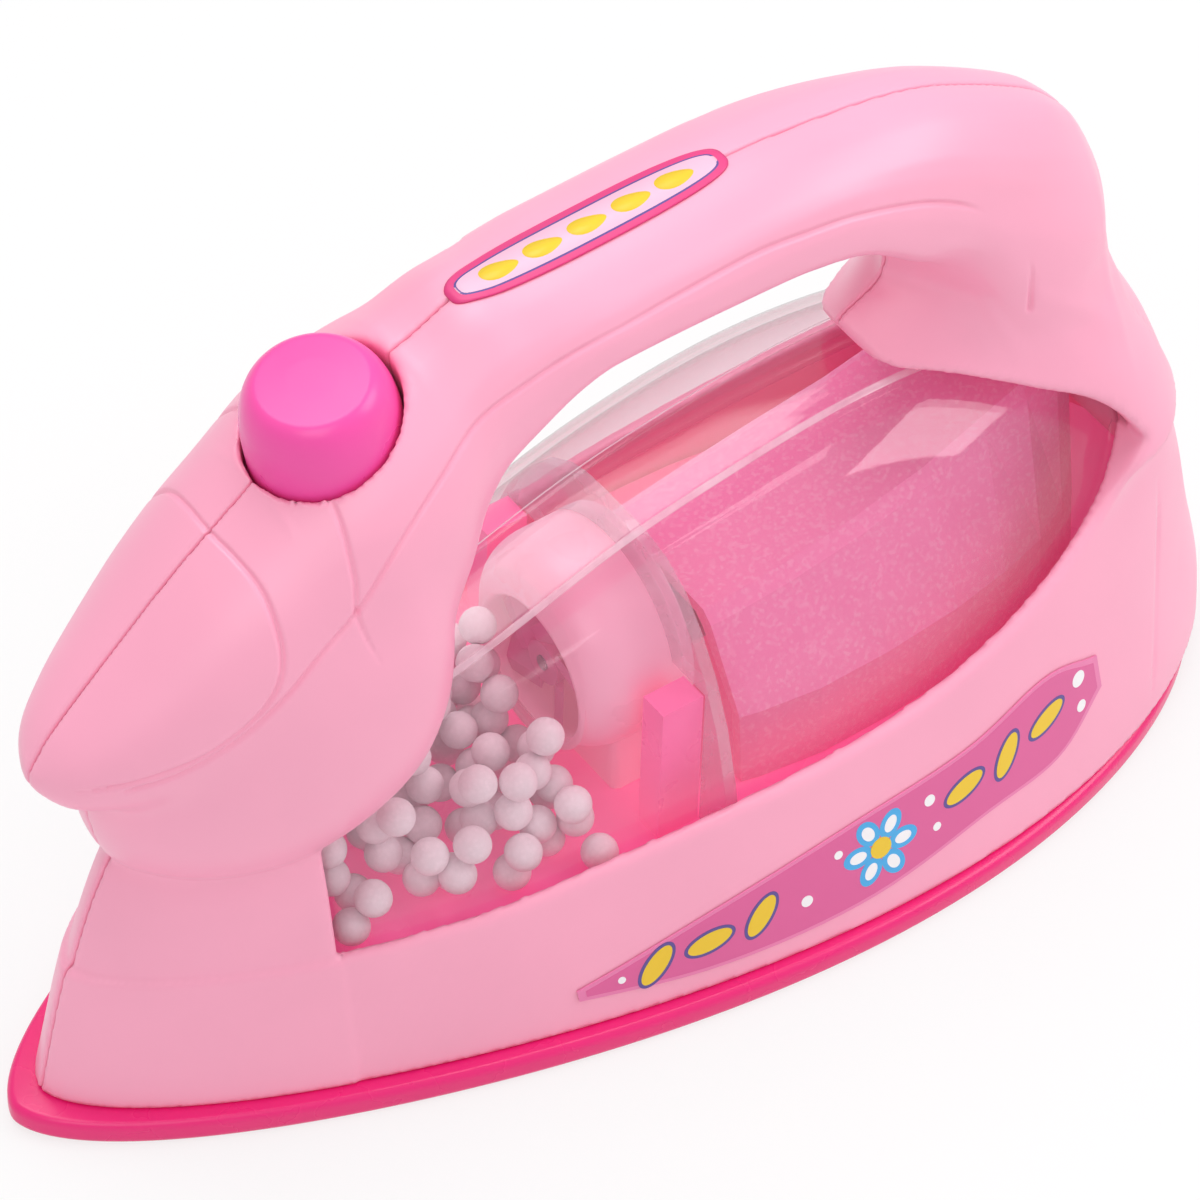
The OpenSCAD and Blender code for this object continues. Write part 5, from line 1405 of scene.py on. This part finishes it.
class ToyIronStage(bpy.types.PropertyGroup):
    """Levels of the lights."""

    world_level: level_setting("World", "Strength of the even light from all round", 0.5, 4.0)
    left_power: level_setting("Left lamp", "Power of the lamp on the left", 1.9, 50.0, subtype="POWER")
    right_power: level_setting("Right lamp", "Power of the lamp on the right", 2.6, 50.0, subtype="POWER")
    top_power: level_setting("Top lamp", "Power of the lamp above", 4.7, 50.0, subtype="POWER")
    floor_glow: level_setting("Floor glow", "How white the floor looks to the camera", 0.75, subtype="FACTOR")


PAINTS = {}  # the materials by their plain names, made by the first operator


class TOYIRON_OT_inner(bpy.types.Operator):
    """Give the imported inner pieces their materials"""

    bl_idname = "toyiron.inner"
    bl_label = "Inner pieces"

    def execute(self, context):
        PAINTS.update(make_paints())
        finish_cad(PAINTS)
        return {"FINISHED"}


class TOYIRON_OT_housings(bpy.types.Operator):
    """Build both moulded housing halves"""

    bl_idname = "toyiron.housings"
    bl_label = "Housing halves"

    def execute(self, context):
        housing_pieces(PAINTS["housing"])
        return {"FINISHED"}


class TOYIRON_OT_cover(bpy.types.Operator):
    """Build the clear cover with its raised band"""

    bl_idname = "toyiron.cover"
    bl_label = "Clear cover"

    def execute(self, context):
        clear_cover_piece(PAINTS["clear"], PAINTS["clear_edge_highlight"])
        return {"FINISHED"}


class TOYIRON_OT_sole(bpy.types.Operator):
    """Build the sole plate with its battery recess"""

    bl_idname = "toyiron.sole"
    bl_label = "Sole plate"

    def execute(self, context):
        sole_piece(PAINTS["sole"])
        return {"FINISHED"}


class TOYIRON_OT_beads(bpy.types.Operator):
    """Build the pile of foam beads"""

    bl_idname = "toyiron.beads"
    bl_label = "Foam beads"

    def execute(self, context):
        bead_pieces(PAINTS["foam"])
        return {"FINISHED"}


class TOYIRON_OT_pod(bpy.types.Operator):
    """Build the rounded blower pod and its foot"""

    bl_idname = "toyiron.pod"
    bl_label = "Blower pod"

    def execute(self, context):
        pod_piece(PAINTS["pod"])
        return {"FINISHED"}


class TOYIRON_OT_button(bpy.types.Operator):
    """Build the push button and its return spring"""

    bl_idname = "toyiron.button"
    bl_label = "Push button"

    def execute(self, context):
        button_piece(PAINTS["button"])
        spring_piece(PAINTS["steel"])
        return {"FINISHED"}


class TOYIRON_OT_label(bpy.types.Operator):
    """Build the label on the handle"""

    bl_idname = "toyiron.label"
    bl_label = "Handle label"

    def execute(self, context):
        label_piece(PAINTS)
        return {"FINISHED"}


class TOYIRON_OT_prints(bpy.types.Operator):
    """Lay the prints on both lower walls"""

    bl_idname = "toyiron.prints"
    bl_label = "Wall prints"

    def execute(self, context):
        side_prints(PAINTS)
        return {"FINISHED"}


class TOYIRON_OT_stage(bpy.types.Operator):
    """Set the floor, world, lamps and camera"""

    bl_idname = "toyiron.stage"
    bl_label = "Stage"

    def execute(self, context):
        set_stage()
        return {"FINISHED"}


GROUPS = {"toy_iron_shell": ToyIronShell, "toy_iron_clear": ToyIronClear, "toy_iron_inner": ToyIronInner,
          "toy_iron_prints": ToyIronPrints, "toy_iron_stage": ToyIronStage}
STEPS = (TOYIRON_OT_inner, TOYIRON_OT_housings, TOYIRON_OT_cover, TOYIRON_OT_sole, TOYIRON_OT_beads, TOYIRON_OT_pod,
         TOYIRON_OT_button, TOYIRON_OT_label, TOYIRON_OT_prints, TOYIRON_OT_stage)


class TOYIRON_PT_panel(bpy.types.Panel):
    """Settings and steps of the toy iron"""

    bl_label = "Toy Iron"
    bl_idname = "TOYIRON_PT_panel"
    bl_space_type = "VIEW_3D"
    bl_region_type = "UI"
    bl_category = "Toy Iron"

    def draw(self, context):
        for name in GROUPS:
            group = getattr(context.scene, name)
            box = self.layout.box()
            for setting in group.bl_rna.properties:
                if setting.identifier not in ("rna_type", "name"):
                    box.prop(group, setting.identifier)
        for step in STEPS:
            self.layout.operator(step.bl_idname)


def register():
    """Adds the add-on's classes and its settings."""
    for item in (*GROUPS.values(), *STEPS, TOYIRON_PT_panel):
        bpy.utils.register_class(item)
    for name, group in GROUPS.items():
        setattr(bpy.types.Scene, name, bpy.props.PointerProperty(type=group))


def unregister():
    """Takes the add-on's classes and settings away."""
    for name in GROUPS:
        delattr(bpy.types.Scene, name)
    for item in (TOYIRON_PT_panel, *STEPS[::-1], *GROUPS.values()):
        bpy.utils.unregister_class(item)


def main():
    """Builds every piece and the stage."""
    register()
    bpy.ops.toyiron.inner()
    bpy.ops.toyiron.housings()
    bpy.ops.toyiron.cover()
    bpy.ops.toyiron.sole()
    bpy.ops.toyiron.beads()
    bpy.ops.toyiron.pod()
    bpy.ops.toyiron.button()
    bpy.ops.toyiron.label()
    bpy.ops.toyiron.prints()
    bpy.ops.toyiron.stage()


if __name__ == "__main__":
    main()
